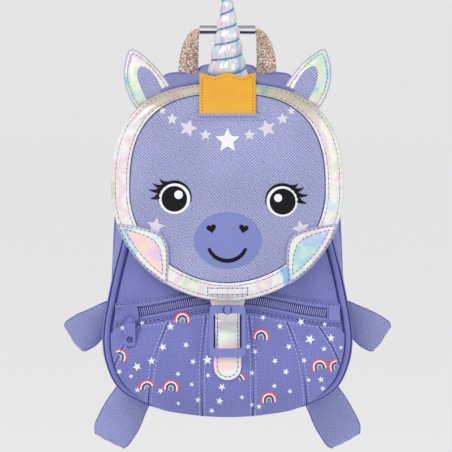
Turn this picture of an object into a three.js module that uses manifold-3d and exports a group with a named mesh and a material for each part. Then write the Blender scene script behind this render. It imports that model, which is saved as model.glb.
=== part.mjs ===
// A small child's backpack in the shape of a unicorn: a soft zipped bag with a round head for a flap.
// Millimetres. +X is the right as seen from the front, -Y is the front, +Z is up.
// The origin is the middle of the underside of the metal handle grip, where the bag hangs.
import * as THREE from 'three';
import { mergeVertices } from 'three/addons/utils/BufferGeometryUtils.js';
import Module from 'manifold-3d';

const wasm = await Module();
wasm.setup();

// Clearances and cloth thicknesses
const gap = 0.3;
const cloth = 2;
const backPadding = 4;
const filmSheet = 1.2;
const webThickness = 1.5;

// Bag
const hangDrop = 24;
const bagHeight = 248;
const bagHalfWidth = 87.5;
const bagDepth = 78;
const gussetBulge = 3;
const frontBulge = 9;
const panelMiddleShare = 0.56;
const pipingRadius = 2.1;
const mouthHalfWidth = 43;
const mouthFrontHalfWidth = 35;

// Head flap
const flapHalfWidth = 81.5;
const flapHeight = 152.6;
const flapDrop = 12;
const flapReach = 23;
const flapDome = 5;
const flapSideWrap = 9;
const flapCurlRadius = 36;
const flapCurlHeight = 30;
const borderWidth = 12.5;
const borderTopWidth = 7;
const patchWidth = 24;
const patchTipShare = 0.04;
const patchFullness = 0.7;
const patchStart = 0.29;
const patchEnd = 0.41;

// Horn, ears and label
const hornRadius = 14.2;
const hornHeight = 64;
const hornTaper = 0.82;
const hornRoundShare = 0.12;
const hornTipRadius = 0.2;
const hornPitch = 11.5;
const hornGroove = 1.5;
const grooveSharpness = 0.8;
const grooveFadeShare = 0.25;
const hornFrontSetback = 3;
const earHeight = 36;
const earTurn = 0.1;
const earTilt = THREE.MathUtils.degToRad(24);
const earLean = 0.2;
const earWidth = 30;
const earThickness = 6;
const earInnerShare = 0.56;
const earRimShare = 0.35;
const earInnerPuff = 0.5;
const earInnerThickness = 1;
const labelHalfWidth = 19.8;
const labelHeight = 27;
const labelRise = 6.3;
const labelWave = 1;

// Handle
const handleHalfSpan = 28.6;
const webWidth = 15.3;
const gripLength = 41;
const gripHeight = 6.4;
const gripWall = 1;
const seamOverlap = 9;
const gripCornerShare = 0.4;
const webTwistReach = 4;

// Front pocket and its zip
const zipDrop = 163.5;
const zipSag = 11.5;
const tapeThickness = 1.2;
const tapeEndInset = 1;
const tapeAbove = 7;
const tapeBelow = 9;
const coilWidth = 6.2;
const coilThickness = 2;
const coilLeftShare = 0.93;
const coilRightShare = 0.87;
const pocketBulge = 15;
const pocketPuff = 2.6;
const pocketCorner = 2.5;
const pocketSpread = 1.15;
const hangLowering = 1.25;
const hangFullness = 0.75;
const sliderLength = 12;
const sliderWidth = 10;
const sliderThickness = 3;
const barRadius = 0.8;
const barClearance = 0.35;
const knuckleWall = 0.9;
const knuckleWidth = 4;
const pullerWidth = 8;
const pullerLength = 20.5;
const pullerThickness = 1.6;
const pullerWindow = 4.4;
const endTabLength = 9.2;
const endTabHeight = 10;
const postThickness = 1.4;

// Front closure
const strapWidth = 19.2;
const strapThickness = 1.6;
const strapFlare = 24.4;
const strapOverlap = 14;
const strapLength = 53.2;
const frameWidth = 25;
const frameHeight = 36.6;
const frameSide = 2.5;
const frameBar = 5.9;
const frameThickness = 3;
const frameCorner = 3.5;
const frameDrop = 166.8;
const prongWidth = 4.1;
const prongLength = 6.4;
const prongThickness = 1.4;

// Stuffed arms and legs
const limbThickness = 13;
const armLength = 32;
const armWidth = 30;
const legLength = 38;
const legWidth = 31;
const armDrop = 178;
const legDrop = 233;
const armHeading = THREE.MathUtils.degToRad(-27);
const legHeading = THREE.MathUtils.degToRad(-63);

// Shoulder straps
const padWidth = 34;
const padThickness = 6;
const padReach = 40;
const padTopDrop = 14;
const padLength = 158;
const padTopHalfSpan = 27;
const padBottomHalfSpan = 40;
const lowerWebWidth = 14;
const lowerWebThickness = 1.4;
const lowerWebHalfSpan = 58;
const lowerWebEndShare = 0.87;
const adjusterHeight = 17;
const adjusterWidth = 21;
const adjusterThickness = 3;
const adjusterSlot = 3.4;
const padTailLength = 11;
const padTaperShare = 0.06;

// Levels that follow from the sizes
const bagTop = -hangDrop;
const seamFace = webThickness / 2;
const panelInner = seamFace + gap;
const backFace = panelInner + backPadding;
const gussetRear = seamFace;
const gussetFront = gussetRear - bagDepth;
const panelRear = gussetFront - gap;
const panelFront = panelRear - cloth;

const lerp = THREE.MathUtils.lerp;
const clamp = THREE.MathUtils.clamp;

const looks = {
  cloth: { color: 0x8f90cf, roughness: 0.9, metalness: 0 },
  bagCloth: { color: 0x7678c0, roughness: 0.9, metalness: 0 },
  print: { color: 0x7d7cc6, roughness: 0.85, metalness: 0 },
  film: { color: 0xe9e3ea, roughness: 0.25, metalness: 0.3 },
  leather: { color: 0xe8ac2d, roughness: 0.6, metalness: 0 },
  web: { color: 0xcbb39b, roughness: 0.8, metalness: 0.1 },
  chrome: { color: 0xd8dade, roughness: 0.12, metalness: 1 },
  plastic: { color: 0x7d82c3, roughness: 0.45, metalness: 0 },
  zip: { color: 0x6468ae, roughness: 0.6, metalness: 0 },
};

const backpack = new THREE.Group();
backpack.name = 'kids_animal_backpack';

/** The signed volume that a triangle mesh encloses. */
function signedVolume(points, index) {
  const a = new THREE.Vector3();
  const b = new THREE.Vector3();
  const c = new THREE.Vector3();
  let volume = 0;
  for (let i = 0; i < index.length; i += 3) {
    a.fromBufferAttribute(points, index[i]);
    b.fromBufferAttribute(points, index[i + 1]);
    c.fromBufferAttribute(points, index[i + 2]);
    volume += a.dot(b.cross(c)) / 6;
  }
  return volume;
}

/** Joins equal corners, drops triangles that have closed up, and turns the faces outwards. */
function closed(geometry) {
  const bare = geometry.clone();
  bare.deleteAttribute('normal');
  bare.deleteAttribute('uv');
  const merged = mergeVertices(bare, 1e-4);
  const kept = [];
  for (let i = 0; i < merged.index.count; i += 3) {
    const corners = [0, 1, 2].map((k) => merged.index.getX(i + k));
    if (new Set(corners).size === 3) kept.push(...corners);
  }
  if (signedVolume(merged.attributes.position, kept) < 0) kept.reverse();
  merged.setIndex(kept);
  merged.computeVertexNormals();
  return merged;
}

/** Bends a primitive: each corner goes where the function sends its position. */
function bent(geometry, place) {
  const points = geometry.attributes.position;
  for (let i = 0; i < points.count; i += 1) {
    points.setXYZ(i, ...place(points.getX(i), points.getY(i), points.getZ(i)));
  }
  return closed(geometry);
}

/** A strip of cloth: place(along, across, layer), each from 0 to 1. */
function strip(alongSteps, acrossSteps, place) {
  const box = new THREE.BoxGeometry(1, 1, 1, alongSteps, acrossSteps, 1);
  return bent(box, (x, y, z) => place(x + 0.5, y + 0.5, z + 0.5));
}

/** A round panel: place(turn, share, layer) with the share 0 in the middle and 1 at the rim. */
function disc(aroundSteps, shares, place) {
  const up = shares.map((share) => new THREE.Vector2(share, 1));
  const down = shares.map((share) => new THREE.Vector2(share, 0)).reverse();
  const lathe = new THREE.LatheGeometry([...up, ...down], aroundSteps);
  return bent(lathe, (x, y, z) => {
    const turn = Math.atan2(x, z) / (2 * Math.PI);
    return place((turn + 1) % 1, Math.min(1, Math.hypot(x, z)), y);
  });
}

/** A closed ring: place(turn, angle), the angle running round its section. */
function ring(aroundSteps, sectionSteps, place) {
  const torus = new THREE.TorusGeometry(2, 1, sectionSteps, aroundSteps);
  return bent(torus, (x, y, z) => {
    const turn = Math.atan2(y, x) / (2 * Math.PI);
    return place((turn + 1) % 1, Math.atan2(z, Math.hypot(x, y) - 2));
  });
}

/** A stuffed tube: place(along, angle, radius), the radius 1 on its skin and 0 in its ends. */
function rod(alongSteps, aroundSteps, place) {
  const cylinder = new THREE.CylinderGeometry(1, 1, 1, aroundSteps, alongSteps);
  return bent(cylinder, (x, y, z) => place(y + 0.5, Math.atan2(x, z), Math.hypot(x, z)));
}

function toSolid(geometry) {
  const ready = closed(geometry);
  const mesh = new wasm.Mesh({
    numProp: 3,
    vertProperties: new Float32Array(ready.attributes.position.array),
    triVerts: new Uint32Array(ready.index.array),
  });
  return new wasm.Manifold(mesh);
}

function fromSolid(solid) {
  const mesh = solid.getMesh();
  const geometry = new THREE.BufferGeometry();
  geometry.setAttribute('position', new THREE.BufferAttribute(mesh.vertProperties, 3));
  geometry.setIndex(new THREE.BufferAttribute(mesh.triVerts, 1));
  geometry.computeVertexNormals();
  return geometry;
}

function add(name, geometry, look) {
  const mesh = new THREE.Mesh(geometry, new THREE.MeshStandardMaterial(looks[look]));
  mesh.name = name;
  backpack.add(mesh);
}

/** A symmetrical closed outline in the upright plane, from a table of its right half, top to bottom. */
class Outline {
  constructor(rows, halfWidth, top, height) {
    const right = rows.map((row) => [row.across * halfWidth, top - row.down * height]);
    const left = right.slice(1, -1).reverse().map(([x, z]) => [-x, z]);
    const points = [...right, ...left].map(([x, z]) => new THREE.Vector3(x, 0, z));
    this.curve = new THREE.CatmullRomCurve3(points, true, 'centripetal');
    this.curve.arcLengthDivisions = 600;
    this.length = this.curve.getLength();
  }

  /** The point a share of the way round, clockwise from the top, moved outwards by some distance. */
  at(turn, outwards = 0) {
    const wrapped = (turn + 1) % 1;
    const point = this.curve.getPointAt(wrapped);
    const tangent = this.curve.getTangentAt(wrapped);
    return { x: point.x - tangent.z * outwards, z: point.z + tangent.x * outwards };
  }

  /** The turn at which the right side first reaches this height on its way down. */
  turnAtHeight(z) {
    let low = 0;
    let high = 0.5;
    for (let i = 0; i < 30; i += 1) {
      const middle = (low + high) / 2;
      if (this.at(middle).z > z) low = middle;
      else high = middle;
    }
    return low;
  }

  /** The turn at which the top first reaches this distance from the middle. */
  turnAtWidth(x) {
    let low = 0;
    let high = 0.25;
    for (let i = 0; i < 30; i += 1) {
      const middle = (low + high) / 2;
      if (this.at(middle).x < x) low = middle;
      else high = middle;
    }
    return low;
  }
}

const backRows = [
  { across: 0, down: 0 },
  { across: 0.2, down: 0.001 },
  { across: 0.27, down: 0.019 },
  { across: 0.45, down: 0.022 },
  { across: 0.505, down: 0.026 },
  { across: 0.57, down: 0.047 },
  { across: 0.68, down: 0.105 },
  { across: 0.81, down: 0.18 },
  { across: 0.9, down: 0.3 },
  { across: 0.935, down: 0.45 },
  { across: 0.955, down: 0.6 },
  { across: 0.97, down: 0.72 },
  { across: 0.95, down: 0.83 },
  { across: 0.85, down: 0.912 },
  { across: 0.62, down: 0.968 },
  { across: 0.3, down: 0.992 },
  { across: 0, down: 0.996 },
];

const frontRows = [
  { across: 0, down: 0.075 },
  { across: 0.28, down: 0.08 },
  { across: 0.46, down: 0.11 },
  { across: 0.6, down: 0.18 },
  { across: 0.7, down: 0.28 },
  { across: 0.775, down: 0.39 },
  { across: 0.845, down: 0.5 },
  { across: 0.94, down: 0.64 },
  { across: 1, down: 0.78 },
  { across: 0.965, down: 0.86 },
  { across: 0.87, down: 0.922 },
  { across: 0.64, down: 0.968 },
  { across: 0.3, down: 0.993 },
  { across: 0, down: 1 },
];

const backOutline = new Outline(backRows, bagHalfWidth, bagTop, bagHeight);
const frontOutline = new Outline(frontRows, bagHalfWidth, bagTop, bagHeight);
const pipingInset = 2 * pipingRadius + gap;

/** The gusset's outer face: a turn round the bag, and a share of the depth from back to front. */
function gussetPoint(turn, share, outwards = 0) {
  const back = backOutline.at(turn, outwards);
  const front = frontOutline.at(turn, outwards - pipingInset);
  const bulge = gussetBulge * Math.sin(Math.PI * share);
  const outer = backOutline.at(turn, outwards + bulge);
  return [
    lerp(back.x, front.x, share) + outer.x - back.x,
    lerp(gussetRear, gussetFront, share),
    lerp(back.z, front.z, share) + outer.z - back.z,
  ];
}

const panelMiddle = bagTop - bagHeight * panelMiddleShare;
const rimSteps = 90;

/** The distance from the panel's middle to its rim, for directions from the top round to the foot. */
const rimReaches = [...Array(rimSteps + 1).keys()].map((step) => {
  const rim = frontOutline.at(step / (2 * rimSteps), -pipingInset);
  return {
    angle: Math.atan2(Math.abs(rim.x), rim.z - panelMiddle),
    reach: Math.hypot(rim.x, rim.z - panelMiddle),
  };
});

/** How far out a point of the front lies: 0 in the middle, 1 at the panel's rim. */
function frontShare(x, z) {
  const angle = Math.atan2(Math.abs(x), z - panelMiddle);
  const next = clamp(rimReaches.findIndex((row) => row.angle >= angle), 1, rimSteps);
  const [low, high] = [rimReaches[next - 1], rimReaches[next]];
  const share = clamp((angle - low.angle) / (high.angle - low.angle), 0, 1);
  return Math.hypot(x, z - panelMiddle) / lerp(low.reach, high.reach, share);
}

/** The front panel's outer face over a point of the front. */
function frontFace(x, z) {
  const share = Math.min(1, frontShare(x, z));
  return panelFront - frontBulge * (1 - share * share);
}

// Bag: back, side band, front and piping
const panelShares = [0, 0.45, 0.75, 1];

function backPanel() {
  const steps = 56;
  const corners = [];
  for (let i = 0; i < steps; i += 1) {
    const point = backOutline.at(i / steps);
    corners.push(new THREE.Vector2(point.x, point.z));
  }
  const settings = { depth: backPadding, bevelEnabled: false };
  const plate = new THREE.ExtrudeGeometry(new THREE.Shape(corners), settings);
  plate.rotateX(Math.PI / 2);
  plate.translate(0, backFace, 0);
  return closed(plate);
}

function gusset() {
  const start = backOutline.turnAtWidth(mouthHalfWidth + 2 * gap);
  return strip(44, 3, (along, across, layer) => (
    gussetPoint(lerp(start, 1 - start, along), across, -cloth * (1 - layer))
  ));
}

function frontPanel() {
  return disc(48, panelShares, (turn, share, layer) => {
    const rim = frontOutline.at(turn, -pipingInset);
    const x = rim.x * share;
    const z = lerp(panelMiddle, rim.z, share);
    return [x, frontFace(x, z) + cloth * layer, z];
  });
}

function piping() {
  const level = (panelFront + panelRear) / 2;
  return ring(48, 5, (turn, angle) => {
    const point = frontOutline.at(turn, pipingRadius * (Math.cos(angle) - 1));
    return [point.x, level + pipingRadius * Math.sin(angle), point.z];
  });
}

// The head flap's surface
const upperFullness = 2.7;
const lowerFullness = 1.95;
const flapTop = bagTop - flapDrop;
const flapMiddle = flapTop - flapHeight / 2;
const flapFront = panelFront - flapReach;
const curlStart = flapTop - flapCurlHeight;

/** A point of the flap's outline, the turn clockwise from the top, inset evenly but less at the top. */
function flapOutline(turn, inset = 0) {
  const angle = 2 * Math.PI * turn;
  const upper = Math.cos(angle) > 0;
  const fullness = upper ? upperFullness : lowerFullness;
  const topInset = inset * borderTopWidth / borderWidth;
  const halfHeight = flapHeight / 2 - (upper ? topInset : inset);
  const across = Math.abs(Math.sin(angle));
  const along = Math.abs(Math.cos(angle));
  const reach = (across ** fullness + along ** fullness) ** (-1 / fullness);
  return {
    x: (flapHalfWidth - inset) * reach * Math.sin(angle),
    z: flapMiddle + halfHeight * reach * Math.cos(angle),
  };
}

/** The flap's outer face over a point of the front, before the border is laid on it. */
function flapFace(x, z) {
  const level = (z - flapMiddle) / (flapHeight / 2);
  const spread = x / flapHalfWidth;
  const climb = clamp(z - curlStart, 0, flapCurlHeight);
  const curl = flapCurlRadius - Math.sqrt(flapCurlRadius ** 2 - climb ** 2);
  return flapFront + flapDome * (level ** 2 + spread ** 2) + flapSideWrap * spread ** 4 + curl;
}

const flapShares = [0, 0.35, 0.65, 0.85, 1];

function flapPanel() {
  return disc(42, flapShares, (turn, share, layer) => {
    const rim = flapOutline(turn, gap);
    const x = rim.x * share;
    const z = lerp(flapMiddle, rim.z, share);
    return [x, flapFace(x, z) + cloth * layer, z];
  });
}

/** The border's front face lies this far in front of the flap's cloth. */
const borderRise = gap + filmSheet;

function flapBorder() {
  const sectionShares = [0, 0.5, 1];
  const perFace = sectionShares.length;
  return ring(48, 2 * perFace, (turn, angle) => {
    const side = Math.round((angle / Math.PI) * perFace + 2 * perFace) % (2 * perFace);
    const front = side < perFace;
    const share = sectionShares[front ? side : 2 * perFace - 1 - side];
    const point = flapOutline(turn, borderWidth * share);
    return [point.x, flapFace(point.x, point.z) - (front ? borderRise : gap), point.z];
  });
}

/** A leaf patch over the border: from turn to turn, its inner edge bowed in towards the face. */
function leafPatch(firstTurn, lastTurn) {
  return strip(14, 3, (along, across, layer) => {
    const turn = lerp(firstTurn, lastTurn, along);
    const width = patchWidth * Math.max(patchTipShare, Math.sin(Math.PI * along) ** patchFullness);
    const point = flapOutline(turn, gap + width * across);
    return [point.x, flapFace(point.x, point.z) - borderRise - gap - filmSheet * (1 - layer), point.z];
  });
}

const flapRear = seamFace + gap;

/** The front edge of the cloth over the bag's mouth, which rests on the flap's upper rim. */
function mouthFront(x) {
  const level = 1 - (Math.abs(x) / flapHalfWidth) ** upperFullness;
  const z = flapMiddle + (flapHeight / 2) * level ** (1 / upperFullness);
  return { y: flapFace(x, z) + cloth / 2, z: z + 2 * gap };
}

/** The height of the underside of the cloth over the mouth. */
function mouthHeight(x, y) {
  const front = mouthFront(x);
  const rear = backOutline.at(backOutline.turnAtWidth(Math.abs(x))).z - cloth;
  const share = clamp((-flapRear - y) / (-flapRear - front.y), 0, 1);
  return lerp(rear, front.z, share ** 2);
}

function mouthCover() {
  return strip(7, 8, (along, across, layer) => {
    const x = lerp(mouthFrontHalfWidth, mouthHalfWidth, along) * (2 * across - 1);
    const y = lerp(mouthFront(x).y, -flapRear, along);
    return [x, y, mouthHeight(x, y) + cloth * layer];
  });
}

// Horn, ears and label
/** The horn's radius a share of the way up: a cone with a round tip. */
function hornGirth(share) {
  const cone = hornRadius * (1 - hornTaper * share);
  const tip = Math.sqrt(clamp((1 - share) / hornRoundShare, 0, 1));
  return cone * tip;
}

function horn() {
  const middle = mouthFront(0).y + hornFrontSetback + hornRadius;
  return rod(22, 14, (along, angle, radius) => {
    const turns = (along * hornHeight) / hornPitch - (angle + Math.PI / 2) / (2 * Math.PI);
    const groove = hornGroove * (1 - Math.abs(Math.sin(Math.PI * turns)) ** grooveSharpness);
    const fade = Math.min(1, (1 - along) / grooveFadeShare);
    const girth = radius * Math.max(hornTipRadius, hornGirth(along) - groove * fade);
    const x = girth * Math.sin(angle);
    const y = middle - girth * Math.cos(angle);
    const seat = mouthHeight(x, y) + cloth + gap;
    return [x, y, seat + along * (mouthFront(0).z + hornHeight - seat)];
  });
}

const earRows = [
  { across: 0.05, up: 1.02 },
  { across: 0.22, up: 0.9 },
  { across: 0.42, up: 0.63 },
  { across: 0.5, up: 0.35 },
  { across: 0.5, up: 0.08 },
  { across: 0.42, up: -0.12 },
  { across: 0.05, up: -0.16 },
  { across: -0.36, up: -0.12 },
  { across: -0.42, up: 0.05 },
  { across: -0.37, up: 0.3 },
  { across: -0.3, up: 0.52 },
  { across: -0.13, up: 0.84 },
];
const earMiddleAcross = 0.06;
const earMiddleUp = 0.36;

/** An ear's outline in its own plane, the middle of its base at the origin. */
const earCurve = new THREE.CatmullRomCurve3(
  earRows.map((row) => new THREE.Vector3(row.across * earWidth, row.up * earHeight, 0)),
  true,
  'centripetal',
);
const earMiddle = new THREE.Vector3(earMiddleAcross * earWidth, earMiddleUp * earHeight, 0);

/** Puts a point of the ear's plane on the bag, behind the flap's rim on one side. */
function earPlace(side, point, forwards) {
  const base = flapOutline(earTurn);
  const x = base.x + point.x * Math.cos(earTilt) + point.y * Math.sin(earTilt);
  const up = point.y * Math.cos(earTilt) - point.x * Math.sin(earTilt);
  const plane = flapFace(base.x, base.z) + cloth + gap + earThickness / 2;
  return [side * x, plane + earLean * up - forwards, base.z + up];
}

function ear(side) {
  return disc(18, [0, 0.5, 0.8, 0.95, 1], (turn, share, layer) => {
    const point = earMiddle.clone().lerp(earCurve.getPointAt(turn), share);
    const half = (earThickness / 2) * Math.max(earRimShare, Math.sqrt(1 - share ** 3));
    return earPlace(side, point, half * (1 - 2 * layer));
  });
}

function earInner(side) {
  return disc(16, [0, 0.6, 1], (turn, share, layer) => {
    const point = earMiddle.clone().lerp(earCurve.getPointAt(turn), share * earInnerShare);
    const half = (earThickness / 2) * Math.sqrt(1 - (share * earInnerShare) ** 3);
    return earPlace(side, point, half + gap + earInnerPuff + earInnerThickness * (1 - layer));
  });
}

function label() {
  const straight = flapTop - borderTopWidth;
  const slope = (flapFace(0, straight) - flapFace(0, straight - gap)) / gap;
  return strip(6, 6, (along, across, layer) => {
    const x = lerp(-labelHalfWidth, labelHalfWidth, across);
    const wave = labelWave * Math.cos(4 * Math.PI * across) * along;
    const z = lerp(flapTop + labelRise - labelHeight, flapTop + labelRise, along) + wave;
    const over = Math.max(0, z - straight);
    const y = flapFace(0, Math.min(z, straight)) + over * slope;
    return [x, y - borderRise - gap - filmSheet * (1 - layer), z];
  });
}

// Handle: webbing that turns on edge to pass through a flat metal grip
const gripLevel = gripHeight / 2;
const webCorner = handleHalfSpan - gripLength / 2;

/** Places on the web between its seam and the grip, in shares of its corner. */
const cornerRows = [
  { inwards: 0, below: 3 },
  { inwards: 0.05, below: 2.4 },
  { inwards: 0.26, below: 1.16 },
  { inwards: 0.5, below: 0.5 },
  { inwards: 0.8, below: 0.1 },
];
const handleHalf = [
  new THREE.Vector3(handleHalfSpan, 0, bagTop - seamOverlap),
  ...cornerRows.map((row) => new THREE.Vector3(
    handleHalfSpan - row.inwards * webCorner,
    0,
    gripLevel - row.below * webCorner,
  )),
  new THREE.Vector3(gripLength / 2, 0, gripLevel),
  new THREE.Vector3(gripLength / 4, 0, gripLevel),
];
const handleCurve = new THREE.CatmullRomCurve3(
  [
    ...handleHalf.map((point) => new THREE.Vector3(-point.x, 0, point.z)),
    ...[...handleHalf].reverse(),
  ],
  false,
  'centripetal',
);

function handleWeb() {
  const depth = new THREE.Vector3(0, -1, 0);
  return strip(36, 1, (along, across, layer) => {
    const point = handleCurve.getPointAt(along);
    const tangent = handleCurve.getTangentAt(along);
    const inward = new THREE.Vector3(tangent.z, 0, -tangent.x);
    const climb = THREE.MathUtils.smoothstep(point.z, gripLevel - webTwistReach * webCorner, gripLevel);
    const twist = (Math.PI / 2) * climb;
    const wide = webWidth * (across - 0.5);
    const thick = webThickness * (layer - 0.5);
    point.addScaledVector(inward, wide * Math.cos(twist) - thick * Math.sin(twist));
    point.addScaledVector(depth, wide * Math.sin(twist) + thick * Math.cos(twist));
    return point.toArray();
  });
}

/** A rounded rectangle round the origin, as a shape or as the path of a hole. */
function roundedRectangle(width, height, corner, path = new THREE.Shape()) {
  const x = width / 2;
  const y = height / 2;
  path.moveTo(corner - x, -y);
  path.lineTo(x - corner, -y);
  path.absarc(x - corner, corner - y, corner, -Math.PI / 2, 0);
  path.lineTo(x, y - corner);
  path.absarc(x - corner, y - corner, corner, 0, Math.PI / 2);
  path.lineTo(corner - x, y);
  path.absarc(corner - x, y - corner, corner, Math.PI / 2, Math.PI);
  path.lineTo(-x, corner - y);
  path.absarc(corner - x, corner - y, corner, Math.PI, 1.5 * Math.PI);
  return path;
}

/** A flat plate cut from a shape of the upright plane, its front face at a given depth. */
function upright(shape, thickness, front, curveSegments = 3) {
  const plate = new THREE.ExtrudeGeometry(shape, { depth: thickness, bevelEnabled: false, curveSegments });
  plate.rotateX(Math.PI / 2);
  plate.translate(0, front + thickness, 0);
  return plate;
}

function handleGrip() {
  const depth = webWidth + 2 * (gap + gripWall);
  const corner = gripHeight * gripCornerShare;
  const tube = roundedRectangle(depth, gripHeight, corner);
  tube.holes.push(roundedRectangle(
    depth - 2 * gripWall,
    gripHeight - 2 * gripWall,
    corner - gripWall,
    new THREE.Path(),
  ));
  const grip = upright(tube, gripLength, -gripLength / 2);
  grip.rotateZ(Math.PI / 2);
  grip.translate(0, 0, gripLevel);
  return closed(grip);
}

// Front zip
const zipLevel = bagTop - zipDrop;
const zipEnd = frontOutline.at(frontOutline.turnAtHeight(zipLevel - zipSag), -pipingInset);
const zipHalfWidth = zipEnd.x - gap;

/** The height of the zip's teeth across the front. */
function zipHeight(x) {
  return zipLevel - zipSag * Math.sin((Math.PI / 2) * (x / zipHalfWidth)) ** 2;
}

/** A band that lies on the front along the zip, its edges measured from the teeth. */
function zipBand(fromX, toX, above, below, lift, thickness, steps) {
  return strip(steps, 1, (along, across, layer) => {
    const x = lerp(fromX, toX, along);
    const z = zipHeight(x) + lerp(-below, above, across);
    return [x, frontFace(x, z) - lift - thickness * (1 - layer), z];
  });
}

const coilLift = gap + tapeThickness + gap;
const sliderLift = coilLift + coilThickness + gap;
const tapeHalfWidth = zipHalfWidth - tapeEndInset;
const coilLeft = -zipHalfWidth * coilLeftShare;
const coilRight = zipHalfWidth * coilRightShare;

function zipTape() {
  return zipBand(-tapeHalfWidth, tapeHalfWidth, tapeAbove, tapeBelow, gap, tapeThickness, 24);
}

function zipCoil() {
  return zipBand(coilLeft, coilRight, coilWidth / 2, coilWidth / 2, coilLift, coilThickness, 24);
}

function zipEndTab() {
  const start = coilRight + gap;
  const end = Math.min(start + endTabLength, tapeHalfWidth);
  return zipBand(start, end, endTabHeight / 2, endTabHeight / 2, coilLift, cloth, 3);
}

const sliderX = coilLeft + sliderLength / 2;
const sliderZ = zipHeight(sliderX);
const sliderTilt = Math.atan((sliderZ - zipHeight(sliderX + sliderLength / 2)) / (sliderLength / 2));
const sliderBack = frontFace(sliderX + sliderLength / 2, sliderZ + sliderWidth / 2) - sliderLift;
const knuckleRadius = barRadius + barClearance + knuckleWall;
const barY = sliderBack - sliderThickness - knuckleRadius - gap;
const barZ = sliderZ - sliderWidth / 2 + barRadius;
const barSpan = knuckleWidth + 2 * gap;

function zipSlider() {
  const outline = roundedRectangle(sliderLength, sliderWidth, sliderWidth / 4);
  const body = upright(outline, sliderThickness, -sliderThickness);
  body.rotateY(sliderTilt);
  body.translate(sliderX, sliderBack, sliderZ);
  const bar = new THREE.CylinderGeometry(barRadius, barRadius, barSpan + postThickness, 12);
  bar.rotateZ(Math.PI / 2);
  bar.translate(sliderX, barY, barZ);
  let solid = toSolid(body).add(toSolid(bar));
  const front = barY - barRadius;
  const reach = sliderBack - sliderThickness / 2 - front;
  [-1, 1].forEach((side) => {
    const post = new THREE.BoxGeometry(postThickness, reach, 2 * barRadius);
    post.translate(sliderX + (side * (barSpan + postThickness)) / 2, front + reach / 2, barZ);
    solid = solid.add(toSolid(post));
  });
  return fromSolid(solid);
}

/** The puller hangs from the slider's bar: a knuckle round the bar and a flat plate with a window. */
function zipPuller() {
  const bore = barRadius + barClearance;
  const eye = new THREE.Shape().absarc(0, 0, knuckleRadius, 0, 2 * Math.PI);
  eye.holes.push(new THREE.Path().absarc(0, 0, bore, 0, 2 * Math.PI));
  const knuckle = upright(eye, knuckleWidth, -knuckleWidth / 2, 6);
  knuckle.rotateZ(Math.PI / 2);
  const plateTop = -bore - gap;
  const plateLength = pullerLength - knuckleRadius + plateTop;
  const outline = roundedRectangle(pullerWidth, plateLength, pullerWidth / 5);
  const plate = upright(outline, pullerThickness, -pullerThickness / 2);
  plate.translate(0, 0, plateTop - plateLength / 2);
  const windowShape = roundedRectangle(pullerWindow, pullerWindow, pullerWindow / 6);
  const windowCut = upright(windowShape, 2 * pullerThickness, -pullerThickness, 2);
  windowCut.translate(0, 0, plateTop - plateLength + pullerWindow);
  const solid = toSolid(knuckle).add(toSolid(plate)).subtract(toSolid(windowCut));
  const geometry = fromSolid(solid);
  geometry.translate(sliderX, barY, barZ);
  return geometry;
}

// Front pocket: cloth gathered by six curved seams, hung below the zip and sewn in at the piping
const seamRows = [
  { across: 0.19, puff: 1 },
  { across: 0.53, puff: 1 },
  { across: 0.82, puff: 0.6 },
  { across: 1, puff: 0.2 },
];
const seamBow = 0.12;

/** How much a pleat stands out between its seams: 0 on a seam and up to 1 in the middle. */
function puffAt(across) {
  const distance = Math.abs(across);
  const row = seamRows.findIndex((seam) => distance <= seam.across);
  const place = row < 0 ? seamRows.length - 1 : row;
  const start = place === 0 ? -seamRows[0].across : seamRows[place - 1].across;
  const share = clamp((distance - start) / (seamRows[place].across - start), 0, 1);
  return seamRows[place].puff * Math.sqrt(Math.sin(Math.PI * share));
}

/** The pocket's outer face: across from -1 to 1, down from 0 at the zip to 1 at the piping. */
function pocketPoint(across, down, inwards = 0) {
  const topX = across * (zipHalfWidth - pocketCorner);
  const top = { x: topX, z: zipHeight(topX) - tapeBelow - gap };
  const sideTurn = frontOutline.turnAtHeight(zipHeight(zipHalfWidth) - tapeBelow - 2 * pocketCorner);
  const reach = Math.abs(across) ** pocketSpread * (0.5 - sideTurn);
  const rim = frontOutline.at(0.5 - Math.sign(across) * reach, -pipingInset);
  const swell = Math.sin(Math.PI * clamp(down, 0, 1));
  const x = lerp(top.x, rim.x, down) * (1 + seamBow * swell * (1 - Math.abs(across)));
  const z = lerp(top.z, rim.z, down);
  const middle = 1 - across ** 2;
  const hang = Math.sin(Math.PI * Math.min(1, down ** hangLowering)) ** hangFullness;
  const rise = middle * hang * pocketBulge + swell * middle * pocketPuff * puffAt(across);
  return [x, frontFace(x, z) - gap - cloth - Math.max(0, rise) + inwards, z];
}

function pocketPanel() {
  return strip(36, 7, (along, across, layer) => pocketPoint(2 * along - 1, 1 - across, cloth * layer));
}

// Front closure: a strap sewn behind the flap, with a buckle and its prong in front of it
const flapFoot = flapOutline(0.5).z;

/** The depth of the strap's back, which leaves the flap and then lies on the pocket. */
function strapBack(z) {
  const underFlap = flapFace(0, Math.max(z, flapFoot)) + cloth + gap + strapThickness;
  const pocketTop = zipHeight(0) - tapeBelow - gap;
  const pocketFoot = frontOutline.at(0.5, -pipingInset).z;
  const down = clamp((pocketTop - z) / (pocketTop - pocketFoot), 0, 1);
  return Math.min(underFlap, pocketPoint(0, down)[1] - gap);
}

function closureStrap() {
  const top = flapFoot + strapOverlap;
  const tip = bagTop - frameDrop - strapLength;
  return strip(14, 4, (along, across, layer) => {
    const spread = across - 0.5;
    const round = (strapWidth / 2) * (1 - Math.sqrt(1 - 4 * spread ** 2));
    const z = lerp(tip + round, top, along);
    const flare = THREE.MathUtils.smoothstep(z, bagTop - frameDrop - frameBar, flapFoot);
    const x = spread * lerp(strapWidth, strapFlare, flare);
    return [x, strapBack(z) - strapThickness * (1 - layer), z];
  });
}

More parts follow.
